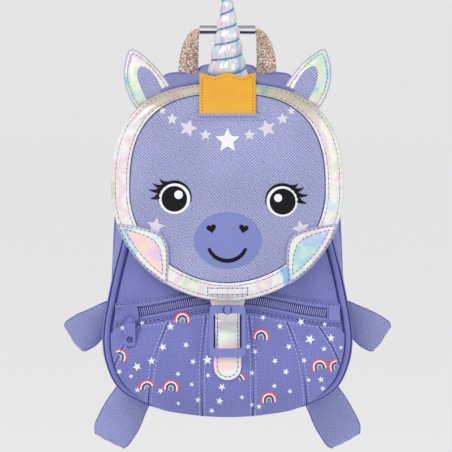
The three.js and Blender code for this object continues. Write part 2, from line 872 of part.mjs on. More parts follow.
const frameMiddle = bagTop - frameDrop - frameHeight / 2;
const frameShares = [-0.5, -0.25, 0, 0.25, 0.5];
const frameLevels = frameShares.map((share) => frameMiddle + share * frameHeight);
const frameBack = Math.min(...frameLevels.map(strapBack)) - strapThickness - gap;

function buckleFrame() {
  const outline = roundedRectangle(frameWidth, frameHeight, frameCorner);
  outline.holes.push(roundedRectangle(
    frameWidth - 2 * frameSide,
    frameHeight - 2 * frameBar,
    frameCorner / 3,
    new THREE.Path(),
  ));
  const frame = upright(outline, frameThickness, frameBack - frameThickness);
  frame.translate(0, 0, frameMiddle);
  return closed(frame);
}

function buckleProng() {
  const pill = roundedRectangle(prongWidth, prongLength, prongWidth / 2 - gap / 2);
  const prong = upright(pill, prongThickness, frameBack - frameThickness - gap - prongThickness);
  prong.translate(0, 0, bagTop - frameDrop - frameBar / 2 - gap);
  return closed(prong);
}

// Stuffed arms and legs, sewn into the middle of the side band
const limbRows = [
  { along: 0, spread: 0.92, fill: 0.6 },
  { along: 0.2, spread: 0.96, fill: 0.9 },
  { along: 0.45, spread: 1, fill: 1 },
  { along: 0.68, spread: 1, fill: 0.95 },
  { along: 0.86, spread: 0.98, fill: 0.72 },
  { along: 0.96, spread: 0.86, fill: 0.45 },
  { along: 1, spread: 0.66, fill: 0.2 },
];

/** Reads a column of a table of rows, between the two rows that the place lies between. */
function readRows(rows, key, column, place) {
  const next = Math.max(1, rows.findIndex((row) => row[key] >= place));
  const low = rows[next - 1];
  const high = rows[next];
  return lerp(low[column], high[column], (place - low[key]) / (high[key] - low[key]));
}

/** A limb that stands on the side band at a turn of its outline and heads out at an angle. */
function limb(side, turn, heading, length, width) {
  const [rootX, , rootZ] = gussetPoint(turn, 0.5, gap);
  return rod(8, 12, (along, angle, radius) => {
    const step = Math.min(1, along);
    const spread = readRows(limbRows, 'along', 'spread', step) * (width / 2);
    const fill = readRows(limbRows, 'along', 'fill', step) * (limbThickness / 2);
    const across = radius * Math.sin(angle) * spread;
    const deep = radius * Math.cos(angle) * fill;
    const seat = gussetPoint(turn + across / backOutline.length, 0.5 + deep / bagDepth, gap);
    const planeX = across * Math.sin(heading);
    const planeZ = -across * Math.cos(heading);
    const hold = (1 - step) ** 2;
    const x = rootX + planeX + (seat[0] - rootX - planeX) * hold + step * length * Math.cos(heading);
    const z = rootZ + planeZ + (seat[2] - rootZ - planeZ) * hold + step * length * Math.sin(heading);
    return [side * x, seat[1], z];
  });
}

const armTurn = backOutline.turnAtHeight(bagTop - armDrop);
const legTurn = backOutline.turnAtHeight(bagTop - legDrop);

// Shoulder straps: a padded upper part, an adjuster and a lower web on each side
const padRows = [
  { along: 0, out: 0, span: 0 },
  { along: 0.05, out: 0.01, span: 0.03 },
  { along: 0.16, out: 0.5, span: 0.12 },
  { along: 0.36, out: 0.93, span: 0.4 },
  { along: 0.6, out: 1, span: 0.7 },
  { along: 0.85, out: 0.8, span: 0.92 },
  { along: 1, out: 0.62, span: 1 },
];

/** The middle line of a shoulder pad, from the top seam down to its tail. */
function padCurve(side) {
  return new THREE.CatmullRomCurve3(padRows.map((row) => new THREE.Vector3(
    side * lerp(padTopHalfSpan, padBottomHalfSpan, row.span),
    backFace + gap + padThickness / 2 + padReach * row.out,
    bagTop - padTopDrop - padLength * row.along,
  )), false, 'centripetal');
}

/** The outward direction, away from the bag, at some place along a strap's middle line. */
function outwardAt(curve, along) {
  const tangent = curve.getTangentAt(along);
  return new THREE.Vector3(0, -tangent.z, tangent.y).normalize();
}

/** A strap along a curve, its width across the bag and its thickness away from it. */
function strapAlong(curve, steps, widthAt, thicknessAt) {
  return strip(steps, 1, (along, across, layer) => {
    const point = curve.getPointAt(along);
    point.x += widthAt(along) * (across - 0.5);
    point.addScaledVector(outwardAt(curve, along), thicknessAt(along) * (layer - 0.5));
    return point.toArray();
  });
}

function shoulderPad(side) {
  const tailStart = 1 - padTailLength / padLength;
  const taper = (along) => THREE.MathUtils.smoothstep(along, tailStart - padTaperShare, tailStart);
  return strapAlong(
    padCurve(side),
    18,
    (along) => lerp(padWidth, lowerWebWidth, taper(along)),
    (along) => lerp(padThickness, lowerWebThickness, taper(along)),
  );
}

/** The point on a pad's tail where the adjuster sits, some way down it and out from its middle. */
function tailPoint(side, down, out) {
  const curve = padCurve(side);
  const tangent = curve.getTangentAt(1);
  const end = curve.getPointAt(1);
  return end.addScaledVector(tangent, down).addScaledVector(outwardAt(curve, 1), out);
}

function adjuster(side) {
  const outline = roundedRectangle(adjusterWidth, adjusterHeight, adjusterSlot / 2);
  const bar = (adjusterHeight - 2 * adjusterSlot) / 3;
  [-1, 1].forEach((place) => {
    const slot = roundedRectangle(lowerWebWidth + 2 * gap, adjusterSlot, adjusterSlot / 4);
    const rise = (place * (adjusterSlot + bar)) / 2;
    const points = slot.getPoints(2).map((point) => point.setY(point.y + rise));
    outline.holes.push(new THREE.Path(points));
  });
  const plate = upright(outline, adjusterThickness, -adjusterThickness / 2);
  const tangent = padCurve(side).getTangentAt(1);
  plate.rotateX(Math.atan2(tangent.y, -tangent.z));
  const rise = lowerWebThickness / 2 + gap + adjusterThickness / 2;
  const seat = tailPoint(side, 0, rise);
  plate.translate(seat.x, seat.y, seat.z);
  return closed(plate);
}

function lowerWeb(side) {
  const rise = 1.5 * lowerWebThickness + 2 * gap + adjusterThickness;
  const foot = new THREE.Vector3(
    side * lowerWebHalfSpan,
    backFace + gap + lowerWebThickness / 2,
    bagTop - lowerWebEndShare * bagHeight,
  );
  const start = tailPoint(side, -adjusterHeight / 2, rise);
  const leave = tailPoint(side, adjusterHeight / 2, rise);
  const beforeFoot = foot.clone().add(new THREE.Vector3(0, lowerWebThickness / 2, seamOverlap));
  const points = [start, leave, leave.clone().lerp(beforeFoot, 0.5), beforeFoot, foot];
  const curve = new THREE.CatmullRomCurve3(points, false, 'centripetal');
  return strapAlong(curve, 14, () => lowerWebWidth, () => lowerWebThickness);
}

add('back_panel', backPanel(), 'bagCloth');
add('side_band', gusset(), 'bagCloth');
add('front_panel', frontPanel(), 'bagCloth');
add('front_piping', piping(), 'bagCloth');
add('mouth_cover', mouthCover(), 'bagCloth');
add('flap_panel', flapPanel(), 'cloth');
add('flap_border', flapBorder(), 'film');
add('horn', horn(), 'film');
add('label_tab', label(), 'leather');
add('handle_web', handleWeb(), 'web');
add('handle_grip', handleGrip(), 'chrome');
add('zip_tape', zipTape(), 'bagCloth');
add('zip_coil', zipCoil(), 'zip');
add('zip_end_tab', zipEndTab(), 'bagCloth');
add('zip_slider', zipSlider(), 'zip');
add('zip_puller', zipPuller(), 'plastic');
add('pocket_panel', pocketPanel(), 'print');
add('closure_strap', closureStrap(), 'film');
add('buckle_frame', buckleFrame(), 'plastic');
add('buckle_prong', buckleProng(), 'plastic');

[['left', -1], ['right', 1]].forEach(([word, side]) => {
  const turn = (share) => (side < 0 ? 1 - share : share);
  add(`leaf_patch_${word}`, leafPatch(turn(patchStart), turn(patchEnd)), 'film');
  add(`ear_${word}`, ear(side), 'film');
  add(`ear_inner_${word}`, earInner(side), 'cloth');
  add(`arm_${word}`, limb(side, armTurn, armHeading, armLength, armWidth), 'bagCloth');
  add(`leg_${word}`, limb(side, legTurn, legHeading, legLength, legWidth), 'bagCloth');
  add(`shoulder_pad_${word}`, shoulderPad(side), 'bagCloth');
  add(`adjuster_${word}`, adjuster(side), 'plastic');
  add(`lower_web_${word}`, lowerWeb(side), 'bagCloth');
});

export default backpack;
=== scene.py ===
"""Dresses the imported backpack: cloth, film, prints, seams and stitches, with a camera and light."""
import math

import bmesh
import bpy
import numpy as np
from mathutils import Matrix, Vector


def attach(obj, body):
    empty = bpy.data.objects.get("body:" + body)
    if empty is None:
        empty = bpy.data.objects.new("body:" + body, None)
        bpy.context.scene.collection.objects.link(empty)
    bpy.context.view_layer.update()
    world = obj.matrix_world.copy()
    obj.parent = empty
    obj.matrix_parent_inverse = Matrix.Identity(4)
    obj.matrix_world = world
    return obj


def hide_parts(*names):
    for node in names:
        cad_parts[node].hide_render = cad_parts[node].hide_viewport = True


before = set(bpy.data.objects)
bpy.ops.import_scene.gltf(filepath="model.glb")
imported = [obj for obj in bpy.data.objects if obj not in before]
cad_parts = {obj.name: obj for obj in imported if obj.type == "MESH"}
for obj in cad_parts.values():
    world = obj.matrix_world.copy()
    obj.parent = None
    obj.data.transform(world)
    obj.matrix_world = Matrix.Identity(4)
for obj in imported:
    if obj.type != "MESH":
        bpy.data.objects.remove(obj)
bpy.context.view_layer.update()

MM = 0.001
TAU = 2 * math.pi

# The photograph's camera, in millimetres and pixels
HALF_PICTURE = 226.0
FOCAL = 2777.8
CAMERA_DISTANCE = 2000.0
CAMERA_TILT = math.radians(3)
TARGET = np.array((-1.08, -50.0, -138.54))
EYE = TARGET + CAMERA_DISTANCE * np.array((0, -math.cos(CAMERA_TILT), math.sin(CAMERA_TILT)))

# Sizes that the frame was built with, in millimetres
GAP, CLOTH, FILM = 0.3, 2.0, 1.2
BAG_TOP, BAG_HEIGHT, BAG_HALF, BAG_DEPTH = -24.0, 248.0, 87.5, 78.0
GUSSET_REAR, GUSSET_FRONT = 0.75, -77.25
PANEL_FRONT, FRONT_BULGE = -79.55, 9.0
BACK_FACE, QUILT_LINE = 5.05, 10.2
PIPING, PIPING_INSET = 2.1, 4.5
FLAP_HALF, FLAP_HEIGHT, FLAP_TOP, FLAP_MIDDLE = 81.5, 152.6, -36.0, -112.3
FLAP_FRONT = -102.55
BORDER, BORDER_TOP = 12.5, 7.0
ZIP_LEVEL, ZIP_SAG = -187.5, 11.5
TAPE_BELOW = 9.0
STRAP_WIDTH, BUCKLE_DROP, STRAP_TAIL = 19.2, 166.8, 53.2
HORN_RADIUS, HORN_TAPER, HORN_HEIGHT, HORN_PITCH = 14.2, 0.82, 64.0, 11.5
HANDLE_SPAN, GRIP_LEVEL, GRIP_LENGTH, WEB_WIDTH, WEB_THICK = 28.6, 3.2, 41.0, 15.3, 1.5


def lerp(a, b, t):
    return a + (b - a) * t


def lattice(rows, columns):
    return np.meshgrid(rows, columns, indexing="ij")


def join(*parts):
    """One array of points from arrays of their coordinates."""
    return np.stack(parts, -1)


def smooth(x, low, high):
    t = np.clip((x - low) / (high - low), 0, 1)
    return t * t * (3 - 2 * t)


def pin(px, py, face):
    """Where the photograph's pixels fall on a surface y = face(x, z)."""
    px, py = np.asarray(px, float), np.asarray(py, float)
    u, v = (px - HALF_PICTURE) / FOCAL, (HALF_PICTURE - py) / FOCAL
    along = math.cos(CAMERA_TILT) + v * math.sin(CAMERA_TILT)
    rise = v * math.cos(CAMERA_TILT) - math.sin(CAMERA_TILT)
    y = np.full(np.broadcast(px, py).shape, -90.0)
    for _ in range(6):
        t = (y - EYE[1]) / along
        x, z = EYE[0] + t * u, EYE[2] + t * rise
        y = face(x, z)
    return x, y, z


class Curve:
    """A centripetal Catmull-Rom curve, read by its share of length."""

    def __init__(self, points, closed=False):
        pts = np.array(points, float)
        n = len(pts)
        run = []
        for i in range(n if closed else n - 1):
            p1, p2 = pts[i], pts[(i + 1) % n]
            p0 = pts[i - 1] if closed or i else 2 * pts[0] - pts[1]
            p3 = pts[(i + 2) % n] if closed or i + 2 < n else 2 * pts[-1] - pts[-2]
            d0, d1, d2 = (max(np.linalg.norm(b - a) ** 0.5, 1e-4) for a,
                          b in ((p0, p1), (p1, p2), (p2, p3)))
            t1 = ((p1 - p0) / d0 - (p2 - p0) / (d0 + d1) + (p2 - p1) / d1) * d1
            t2 = ((p2 - p1) / d1 - (p3 - p1) / (d1 + d2) + (p3 - p2) / d2) * d1
            t = np.linspace(0, 1, 60, endpoint=False)[:, None]
            run.append(p1 + t1 * t + (3 * (p2 - p1) - 2 * t1 - t2) * t**2 + (2 * (p1 - p2) + t1 + t2)
                       * t**3)
        run.append(pts[:1] if closed else pts[-1:])
        self.p = np.concatenate(run)
        step = np.linalg.norm(np.diff(self.p, axis=0), axis=1)
        self.s = np.concatenate(([0], np.cumsum(step)))
        self.length = self.s[-1]
        self.s = self.s / self.length
        slope = np.gradient(self.p, self.s, axis=0)
        if closed:
            slope[0] = slope[-1] = (slope[1] + slope[-2]) / 2
        self.t = slope / np.linalg.norm(slope, axis=1)[:, None]

    def read(self, table, share):
        share = np.asarray(share, float)
        return np.stack([np.interp(share, self.s, table[:, k]) for k in range(table.shape[1])], -1)

    def at(self, share):
        return self.read(self.p, share)

    def heading(self, share):
        return self.read(self.t, share)


class Outline(Curve):
    def __init__(self, rows):
        right = [(a * BAG_HALF, BAG_TOP - d * BAG_HEIGHT) for a, d in rows]
        super().__init__(right + [(-x, z) for x, z in right[-2:0:-1]], closed=True)

    def place(self, turn, outwards=0.0):
        turn = np.mod(turn, 1)
        p, t = self.at(turn), self.heading(turn)
        return p[..., 0] - t[..., 1] * outwards, p[..., 1] + t[..., 0] * outwards

    def turn_at(self, z):
        turns = np.linspace(0, 0.5, 2001)
        return np.interp(-z, -self.at(turns)[:, 1], turns)


back_line = Outline([(0, 0), (.2, .001), (.27, .019), (.45, .022), (.505, .026), (.57, .047), (.68, .105),
                     (.81, .18), (.9, .3), (.935, .45), (.955, .6),
                     (.97, .72), (.95, .83), (.85, .912), (.62, .968), (.3, .992), (0, .996)])
front_line = Outline([(0, .075), (.28, .08), (.46, .11), (.6, .18), (.7, .28), (.775, .39), (.845, .5),
                      (.94, .64), (1, .78), (.965, .86), (.87, .922), (.64, .968), (.3, .993), (0, 1)])


class Polar:
    """How far out a point lies inside an outline: 0 in the middle and 1 at the rim."""

    def __init__(self, xz, middle):
        self.middle = middle
        d = np.asarray(xz) - middle
        angle = np.arctan2(d[:, 0], d[:, 1])
        order = np.argsort(angle)
        self.angle, self.reach = angle[order], np.hypot(d[:, 0], d[:, 1])[order]

    def share(self, x, z):
        dx, dz = x - self.middle[0], z - self.middle[1]
        return np.hypot(dx, dz) / np.interp(np.arctan2(dx, dz), self.angle, self.reach, period=TAU)


PANEL_MIDDLE = BAG_TOP - BAG_HEIGHT * 0.56
panel_polar = Polar(np.stack(front_line.place(np.arange(720) / 720, -PIPING_INSET), -1), (0, PANEL_MIDDLE))


def front_face(x, z):
    share = np.minimum(1, panel_polar.share(x, z))
    return PANEL_FRONT - FRONT_BULGE * (1 - share * share)


def gusset_point(turn, share, outwards=0.0):
    bx, bz = back_line.place(turn, outwards)
    fx, fz = front_line.place(turn, outwards - PIPING_INSET)
    ox, oz = back_line.place(turn, outwards + 3 * np.sin(np.pi * share))
    y = lerp(GUSSET_REAR, GUSSET_FRONT, share) + 0 * bx
    return join(lerp(bx, fx, share) + ox - bx, y, lerp(bz, fz, share) + oz - bz)


def flap_line(turn, inset=0.0):
    angle = TAU * np.asarray(turn, float)
    upper = np.cos(angle) > 0
    full = np.where(upper, 2.7, 1.95)
    half = FLAP_HEIGHT / 2 - np.where(upper, inset * BORDER_TOP / BORDER, inset)
    reach = (np.abs(np.sin(angle)) ** full + np.abs(np.cos(angle)) ** full) ** (-1 / full)
    return (FLAP_HALF - inset) * reach * np.sin(angle), FLAP_MIDDLE + half * reach * np.cos(angle)


def flap_face(x, z):
    level, spread = (z - FLAP_MIDDLE) / (FLAP_HEIGHT / 2), x / FLAP_HALF
    climb = np.clip(z - (FLAP_TOP - 30), 0, 30)
    return FLAP_FRONT + 5 * (level**2 + spread**2) + 9 * spread**4 + 36 - np.sqrt(36**2 - climb**2)


ZIP_HALF = float(front_line.place(front_line.turn_at(ZIP_LEVEL - ZIP_SAG), -PIPING_INSET)[0]) - GAP


def zip_height(x):
    return ZIP_LEVEL - ZIP_SAG * np.sin(np.pi / 2 * x / ZIP_HALF) ** 2


SEAMS = ((0.19, 1.0), (0.53, 1.0), (0.82, 0.6), (1.0, 0.2))
side_turn = float(front_line.turn_at(float(zip_height(ZIP_HALF)) - TAPE_BELOW - 5))


def puff_at(across):
    distance = np.abs(across)
    puff, start = np.zeros_like(distance), -SEAMS[0][0]
    for edge, height in SEAMS:
        inside = (distance >= max(start, 0) - 1e-9) & (distance <= edge)
        share = np.clip((distance - start) / (edge - start), 0, 1)
        puff = np.where(inside, height * np.sqrt(np.sin(np.pi * share).clip(0)), puff)
        start = edge
    return puff


def pocket_point(across, down, inwards=0.0):
    across, down = np.broadcast_arrays(np.asarray(across, float), np.asarray(down, float))
    top_x = across * (ZIP_HALF - 2.5)
    top_z = zip_height(top_x) - TAPE_BELOW - GAP
    reach = np.abs(across) ** 1.15 * (0.5 - side_turn)
    rx, rz = front_line.place(0.5 - np.sign(across) * reach, -PIPING_INSET)
    swell = np.sin(np.pi * np.clip(down, 0, 1))
    x = lerp(top_x, rx, down) * (1 + 0.12 * swell * (1 - np.abs(across)))
    z = lerp(top_z, rz, down)
    middle = 1 - across**2
    hang = np.sin(np.pi * np.minimum(1, down**1.25)).clip(0) ** 0.75
    pleat = 1.9 * puff_at(across)
    rise = middle * hang * 15 + swell * (0.25 + 0.75 * middle) * 2.0 * pleat + 0.8 * wrinkle(x, z, 21,
            17) * swell
    low = smooth(-np.abs(across), -0.82, -0.4)
    droop = 7.4 * low * smooth(down, 0.45, 0.96) * (1 - 0.75 * smooth(down, 0.965, 1))
    y = front_face(x, z) - GAP - CLOTH - np.maximum(np.maximum(0, rise),
                                                    3.0 * low * smooth(down, 0.88, 0.94))
    return join(x, y + inwards, z - droop)


def wrinkle(x, z, seed, size):
    """Soft, seeded unevenness from -1 to 1, with waves about `size` millimetres long."""
    rng = np.random.default_rng(seed)
    total = np.zeros(np.broadcast(x, z).shape)
    for _ in range(7):
        heading, phase = rng.uniform(0, TAU, 2)
        k = TAU / (size * rng.uniform(0.7, 1.6))
        total = total + np.sin(k * (x * math.cos(heading) + z * math.sin(heading)) + phase)
    return total / 4


class Relief:
    """A depth map of a front surface, made from its own points."""

    def __init__(self, points, step=0.5):
        p = points.reshape(-1, 3)
        self.step, self.low = step, p[:, (0, 2)].min(0) - 1
        size = ((p[:, (0, 2)].max(0) + 1 - self.low) / step).astype(int) + 2
        cell = ((p[:, (0, 2)] - self.low) / step).round().astype(int)
        total, count = np.zeros(size), np.zeros(size)
        np.add.at(total, (cell[:, 0], cell[:, 1]), p[:, 1])
        np.add.at(count, (cell[:, 0], cell[:, 1]), 1)
        for _ in range(60):
            if (count > 0).all():
                break
            t, c = np.pad(total * (count > 0), 1), np.pad((count > 0) * count, 1)
            near_t = sum(t[1 + i:t.shape[0] - 1 + i, 1 + j:t.shape[1] - 1 + j] for i,
                         j in ((1, 0), (-1, 0), (0, 1), (0, -1)))
            near_c = sum(c[1 + i:c.shape[0] - 1 + i, 1 + j:c.shape[1] - 1 + j] for i,
                         j in ((1, 0), (-1, 0), (0, 1), (0, -1)))
            empty = (count == 0) & (near_c > 0)
            total[empty], count[empty] = near_t[empty] / near_c[empty], 1
        self.depth = np.where(count > 0, total / np.maximum(count, 1), p[:, 1].max())

    def __call__(self, x, z):
        u = np.clip((x - self.low[0]) / self.step, 0, self.depth.shape[0] - 1.001)
        v = np.clip((z - self.low[1]) / self.step, 0, self.depth.shape[1] - 1.001)
        i, j = u.astype(int), v.astype(int)
        a, b = u - i, v - j
        d = self.depth
        return (d[i, j] * (1 - a) * (1 - b) + d[i + 1, j] * a * (1 - b)
                + d[i, j + 1] * (1 - a) * b + d[i + 1, j + 1] * a * b)


acr, dwn = lattice(np.linspace(-1, 1, 700), np.linspace(0, 0.96, 320))
pocket_face = Relief(pocket_point(acr, dwn))
FLAP_FOOT = FLAP_TOP - FLAP_HEIGHT


def strap_back(z):
    under = flap_face(0, np.maximum(z, FLAP_FOOT)) + CLOTH + GAP + 1.6
    top = float(zip_height(0)) - TAPE_BELOW - GAP
    foot = float(front_line.place(0.5, -PIPING_INSET)[1])
    down = np.clip((top - z) / (top - foot), 0, 1)
    bare = np.sin(np.pi * down)
    hang = np.sin(np.pi * np.minimum(1, down**1.25)).clip(0) ** 0.75
    lying = front_face(0 * z, lerp(top, foot, down)) - GAP - CLOTH - hang * 15 - bare * 2.6 - GAP
    return np.minimum(under, lying)


# Mesh making

def quads_of(ids):
    """The four-sided faces between the rows and columns of a grid of point numbers."""
    return join(ids[:-1, :-1], ids[1:, :-1], ids[1:, 1:], ids[:-1, 1:]).reshape(-1, 4)


class Piece:
    """Gathers closed bodies in millimetres, each with a material number, into one object."""

    def __init__(self, name):
        self.name, self.count = name, 0
        self.points, self.flat, self.faces, self.looks = [], [], [], []

    def add(self, points, faces, look=0, flat=None):
        points = np.asarray(points, float).reshape(-1, 3)
        flat = points[:, (0, 2)] if flat is None else np.asarray(flat, float).reshape(-1, 2)
        self.points.append(points)
        self.flat.append(flat)
        self.faces.append(np.asarray(faces) + self.count)
        self.looks.append(np.full(len(faces), look))
        self.count += len(points)
        return self

    def shell(self, front, back, wrap=False, look=0, flat=None):
        """A closed body between two grids of points; wrap joins its first direction end to end."""
        n, m = front.shape[:2]
        ids = np.arange(n * m).reshape(n, m)
        rows = np.concatenate((ids, ids[:1])) if wrap else ids
        quads = quads_of(rows)
        faces = [quads, quads[:, ::-1] + n * m]
        for edge in [rows[:, 0], rows[::-1, -1]] + ([] if wrap else [rows[0, ::-1], rows[-1]]):
            faces.append(join(edge[:-1], edge[:-1] + n * m, edge[1:] + n * m, edge[1:]))
        points = np.concatenate((front.reshape(-1, 3), back.reshape(-1, 3)))
        flat = None if flat is None else np.concatenate((flat.reshape(-1, 2),) * 2)
        return self.add(points, np.concatenate(faces), look, flat)

    def tube(self, path, radius, around=10, closed=False, look=0, squash=1.0, up=(0, -1, 0)):
        """A round rod along a path, `squash` its thickness along `up`."""
        path = np.asarray(path, float)
        n = len(path)
        tangent = np.roll(path, -1, 0) - np.roll(path, 1, 0) if closed else np.gradient(path, axis=0)
        tangent /= np.linalg.norm(tangent, axis=1)[:, None] + 1e-12
        side = np.cross(tangent, np.broadcast_to(np.array(up, float), path.shape))
        side /= np.linalg.norm(side, axis=1)[:, None] + 1e-12
        out = np.cross(side, tangent)
        angle = np.arange(around) / around * TAU
        radius = np.broadcast_to(radius, (n,))[:, None, None]
        ring = (path[:, None] + radius * (np.cos(angle)[None, :, None] * side[:, None]
                                          + squash * np.sin(angle)[None, :, None] * out[:, None]))
        ids = np.arange(n * around).reshape(n, around)
        if closed:
            ids = np.concatenate((ids, ids[:1]))
        turn = np.concatenate((ids, ids[:, :1]), 1)
        faces = quads_of(turn)
        points = ring.reshape(-1, 3)
        if not closed:
            a, b = n * around, n * around + 1
            points = np.concatenate((points, path[:1], path[-1:]))
            start = join(turn[0, 1:], turn[0, :-1], np.full(around, a), np.full(around, a))
            end = join(turn[-1, :-1], turn[-1, 1:], np.full(around, b), np.full(around, b))
            faces = np.concatenate((faces, start, end))
        return self.add(points, faces, look)

    def capped(self, skin):
        """A round body: a grid of points joined across its second direction, with a fan at each end."""
        n, m = skin.shape[:2]
        ids = np.arange(n * m).reshape(n, m)
        turn = np.concatenate((ids, ids[:, :1]), 1)
        fans = [join(one, two, np.full(m, centre), np.full(m, centre)) for one, two, centre in (
            (turn[0, 1:], turn[0, :-1], n * m), (turn[-1, :-1], turn[-1, 1:], n * m + 1))]
        points = np.concatenate((skin.reshape(-1, 3), skin[0].mean(0)[None], skin[-1].mean(0)[None]))
        return self.add(points, np.concatenate([quads_of(turn)] + fans))

    def pad(self, outline, middle, face, lift, thick, puff=0.0, rings=8, look=0, round_edge=0.0):
        """A flat or puffed patch on a surface: its outline in x and z round a middle."""
        outline = np.asarray(outline, float)
        share = np.linspace(0, 1, rings + 1)[None, :, None]
        xz = np.array(middle) + share * (outline[:, None] - np.array(middle))
        x, z, s = xz[..., 0], xz[..., 1], share[..., 0] + 0 * xz[..., 0]
        base = face(x, z)
        drop = round_edge * smooth(s, 1 - 2.0 / rings, 1.0) ** 2
        front = join(x, base - lift - puff * (1 - s**2) + drop, z)
        back = join(x, base - lift + thick, z)
        return self.shell(front, back, wrap=True, look=look)

    def stamp(self, centres, along, normal, half, look=0, rows=4, around=6):
        """Small rounded bodies, such as stitches and teeth, each lying along a direction."""
        polar = np.linspace(0, np.pi, rows + 1)
        angle = np.arange(around) / around * TAU
        shape = join((-np.cos(polar)[:, None] + 0 * angle), np.sin(polar)[:, None] * np.cos(angle),
                     np.sin(polar)[:, None] * np.sin(angle))
        side = np.cross(along, normal)
        half = np.broadcast_to(np.asarray(half, float), (len(centres), 3))
        axes = np.stack((along, side, normal), 1) * half[:, :, None]
        points = centres[:, None] + np.einsum("rak,nkc->nrac", shape, axes).reshape(len(centres), -1, 3)
        ids = np.arange((rows + 1) * around).reshape(rows + 1, around)
        turn = np.concatenate((ids, ids[:, :1]), 1)
        quads = quads_of(turn)
        faces = quads[None] + (np.arange(len(centres)) * (rows + 1) * around)[:, None, None]
        return self.add(points, faces.reshape(-1, 4), look)

    def build(self, looks, body="bag", slot=None, replaces=(), sharp=50):
        points = np.concatenate(self.points) * MM
        mesh = bpy.data.meshes.new(self.name)
        mesh.from_pydata(points.tolist(), [], np.concatenate(self.faces).tolist(), shade_flat=False)
        cloth = mesh.attributes.new("cloth", "FLOAT_VECTOR", "POINT")
        flat = np.concatenate(self.flat) * MM
        cloth.data.foreach_set("vector", np.column_stack((flat, np.zeros(len(flat)))).ravel())
        looks = looks if isinstance(looks, (list, tuple)) else [looks]
        for look in looks:
            mesh.materials.append(look)
        mesh.polygons.foreach_set("material_index", np.concatenate(self.looks).astype(np.int32))
        work = bmesh.new()
        work.from_mesh(mesh)
        bmesh.ops.remove_doubles(work, verts=work.verts, dist=1e-7)
        bmesh.ops.dissolve_degenerate(work, edges=work.edges, dist=1e-8)
        bmesh.ops.recalc_face_normals(work, faces=work.faces)
        work.to_mesh(mesh)
        work.free()
        mesh.polygons.foreach_set("use_smooth", [True] * len(mesh.polygons))
        mesh.set_sharp_from_angle(angle=math.radians(sharp))
        made = bpy.data.objects.new(self.name, mesh)
        bpy.context.scene.collection.objects.link(made)
        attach(made, body)
        if replaces:
            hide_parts(*replaces)
        return made


def normal_of(face, x, z):
    e = 0.4
    n = join((face(x + e, z) - face(x - e, z)) / (2 * e), -np.ones_like(x),
             (face(x, z + e) - face(x, z - e)) / (2 * e))
    return n / np.linalg.norm(n, axis=-1)[..., None]


def spaced(path, pitch, closed=False):
    """Evenly spaced places on a path: middles and headings."""
    path = np.asarray(path, float)
    if closed:
        path = np.concatenate((path, path[:1]))
    s = np.concatenate(([0], np.cumsum(np.linalg.norm(np.diff(path, axis=0), axis=1))))
    count = max(1, int(round(s[-1] / pitch)))
    at = (np.arange(count) + 0.5) * s[-1] / count
    read = lambda q: np.stack([np.interp(q, s, path[:, k]) for k in range(3)], -1)
    middles, heading = read(at), read(at + 0.3) - read(at - 0.3)
    return middles, heading / (np.linalg.norm(heading, axis=1)[:, None] + 1e-12)


def sew(piece, path, normals, pitch=3.4, length=2.3, radius=0.32, thread=0, holes=None, closed=False):
    """A run of stitches along a path, with dark needle holes between them where asked."""
    middles, heading = spaced(path, pitch, closed)
    n = normals(middles) if callable(normals) else np.broadcast_to(np.array(normals, float), middles.shape)
    n = n / np.linalg.norm(n, axis=1)[:, None]
    heading = heading - (heading * n).sum(1)[:, None] * n
    heading /= np.linalg.norm(heading, axis=1)[:, None] + 1e-12
    piece.stamp(middles, heading, n, (length / 2, radius, radius * 0.9), look=thread)
    if holes is not None:
        piece.stamp(middles + heading * pitch / 2, heading, n, (0.55, 0.5, 0.22), look=holes)
    return piece


def sew_on(piece, x, z, face, lift=0.1, **kind):
    path = join(x, face(x, z) - lift, z)
    return sew(piece, path, lambda p: normal_of(face, p[:, 0], p[:, 2]), **kind)


# Materials

BLACK, WHITE = (0, 0, 0, 1), (1, 1, 1, 1)


def colour(r, g, b):
    """A colour from 0-255 screen values, in the linear values that shaders take."""
    return tuple(((c / 255 + 0.055) / 1.055) ** 2.4 if c > 10 else c / 255 / 12.92 for c in (r, g,
            b)) + (1.0,)


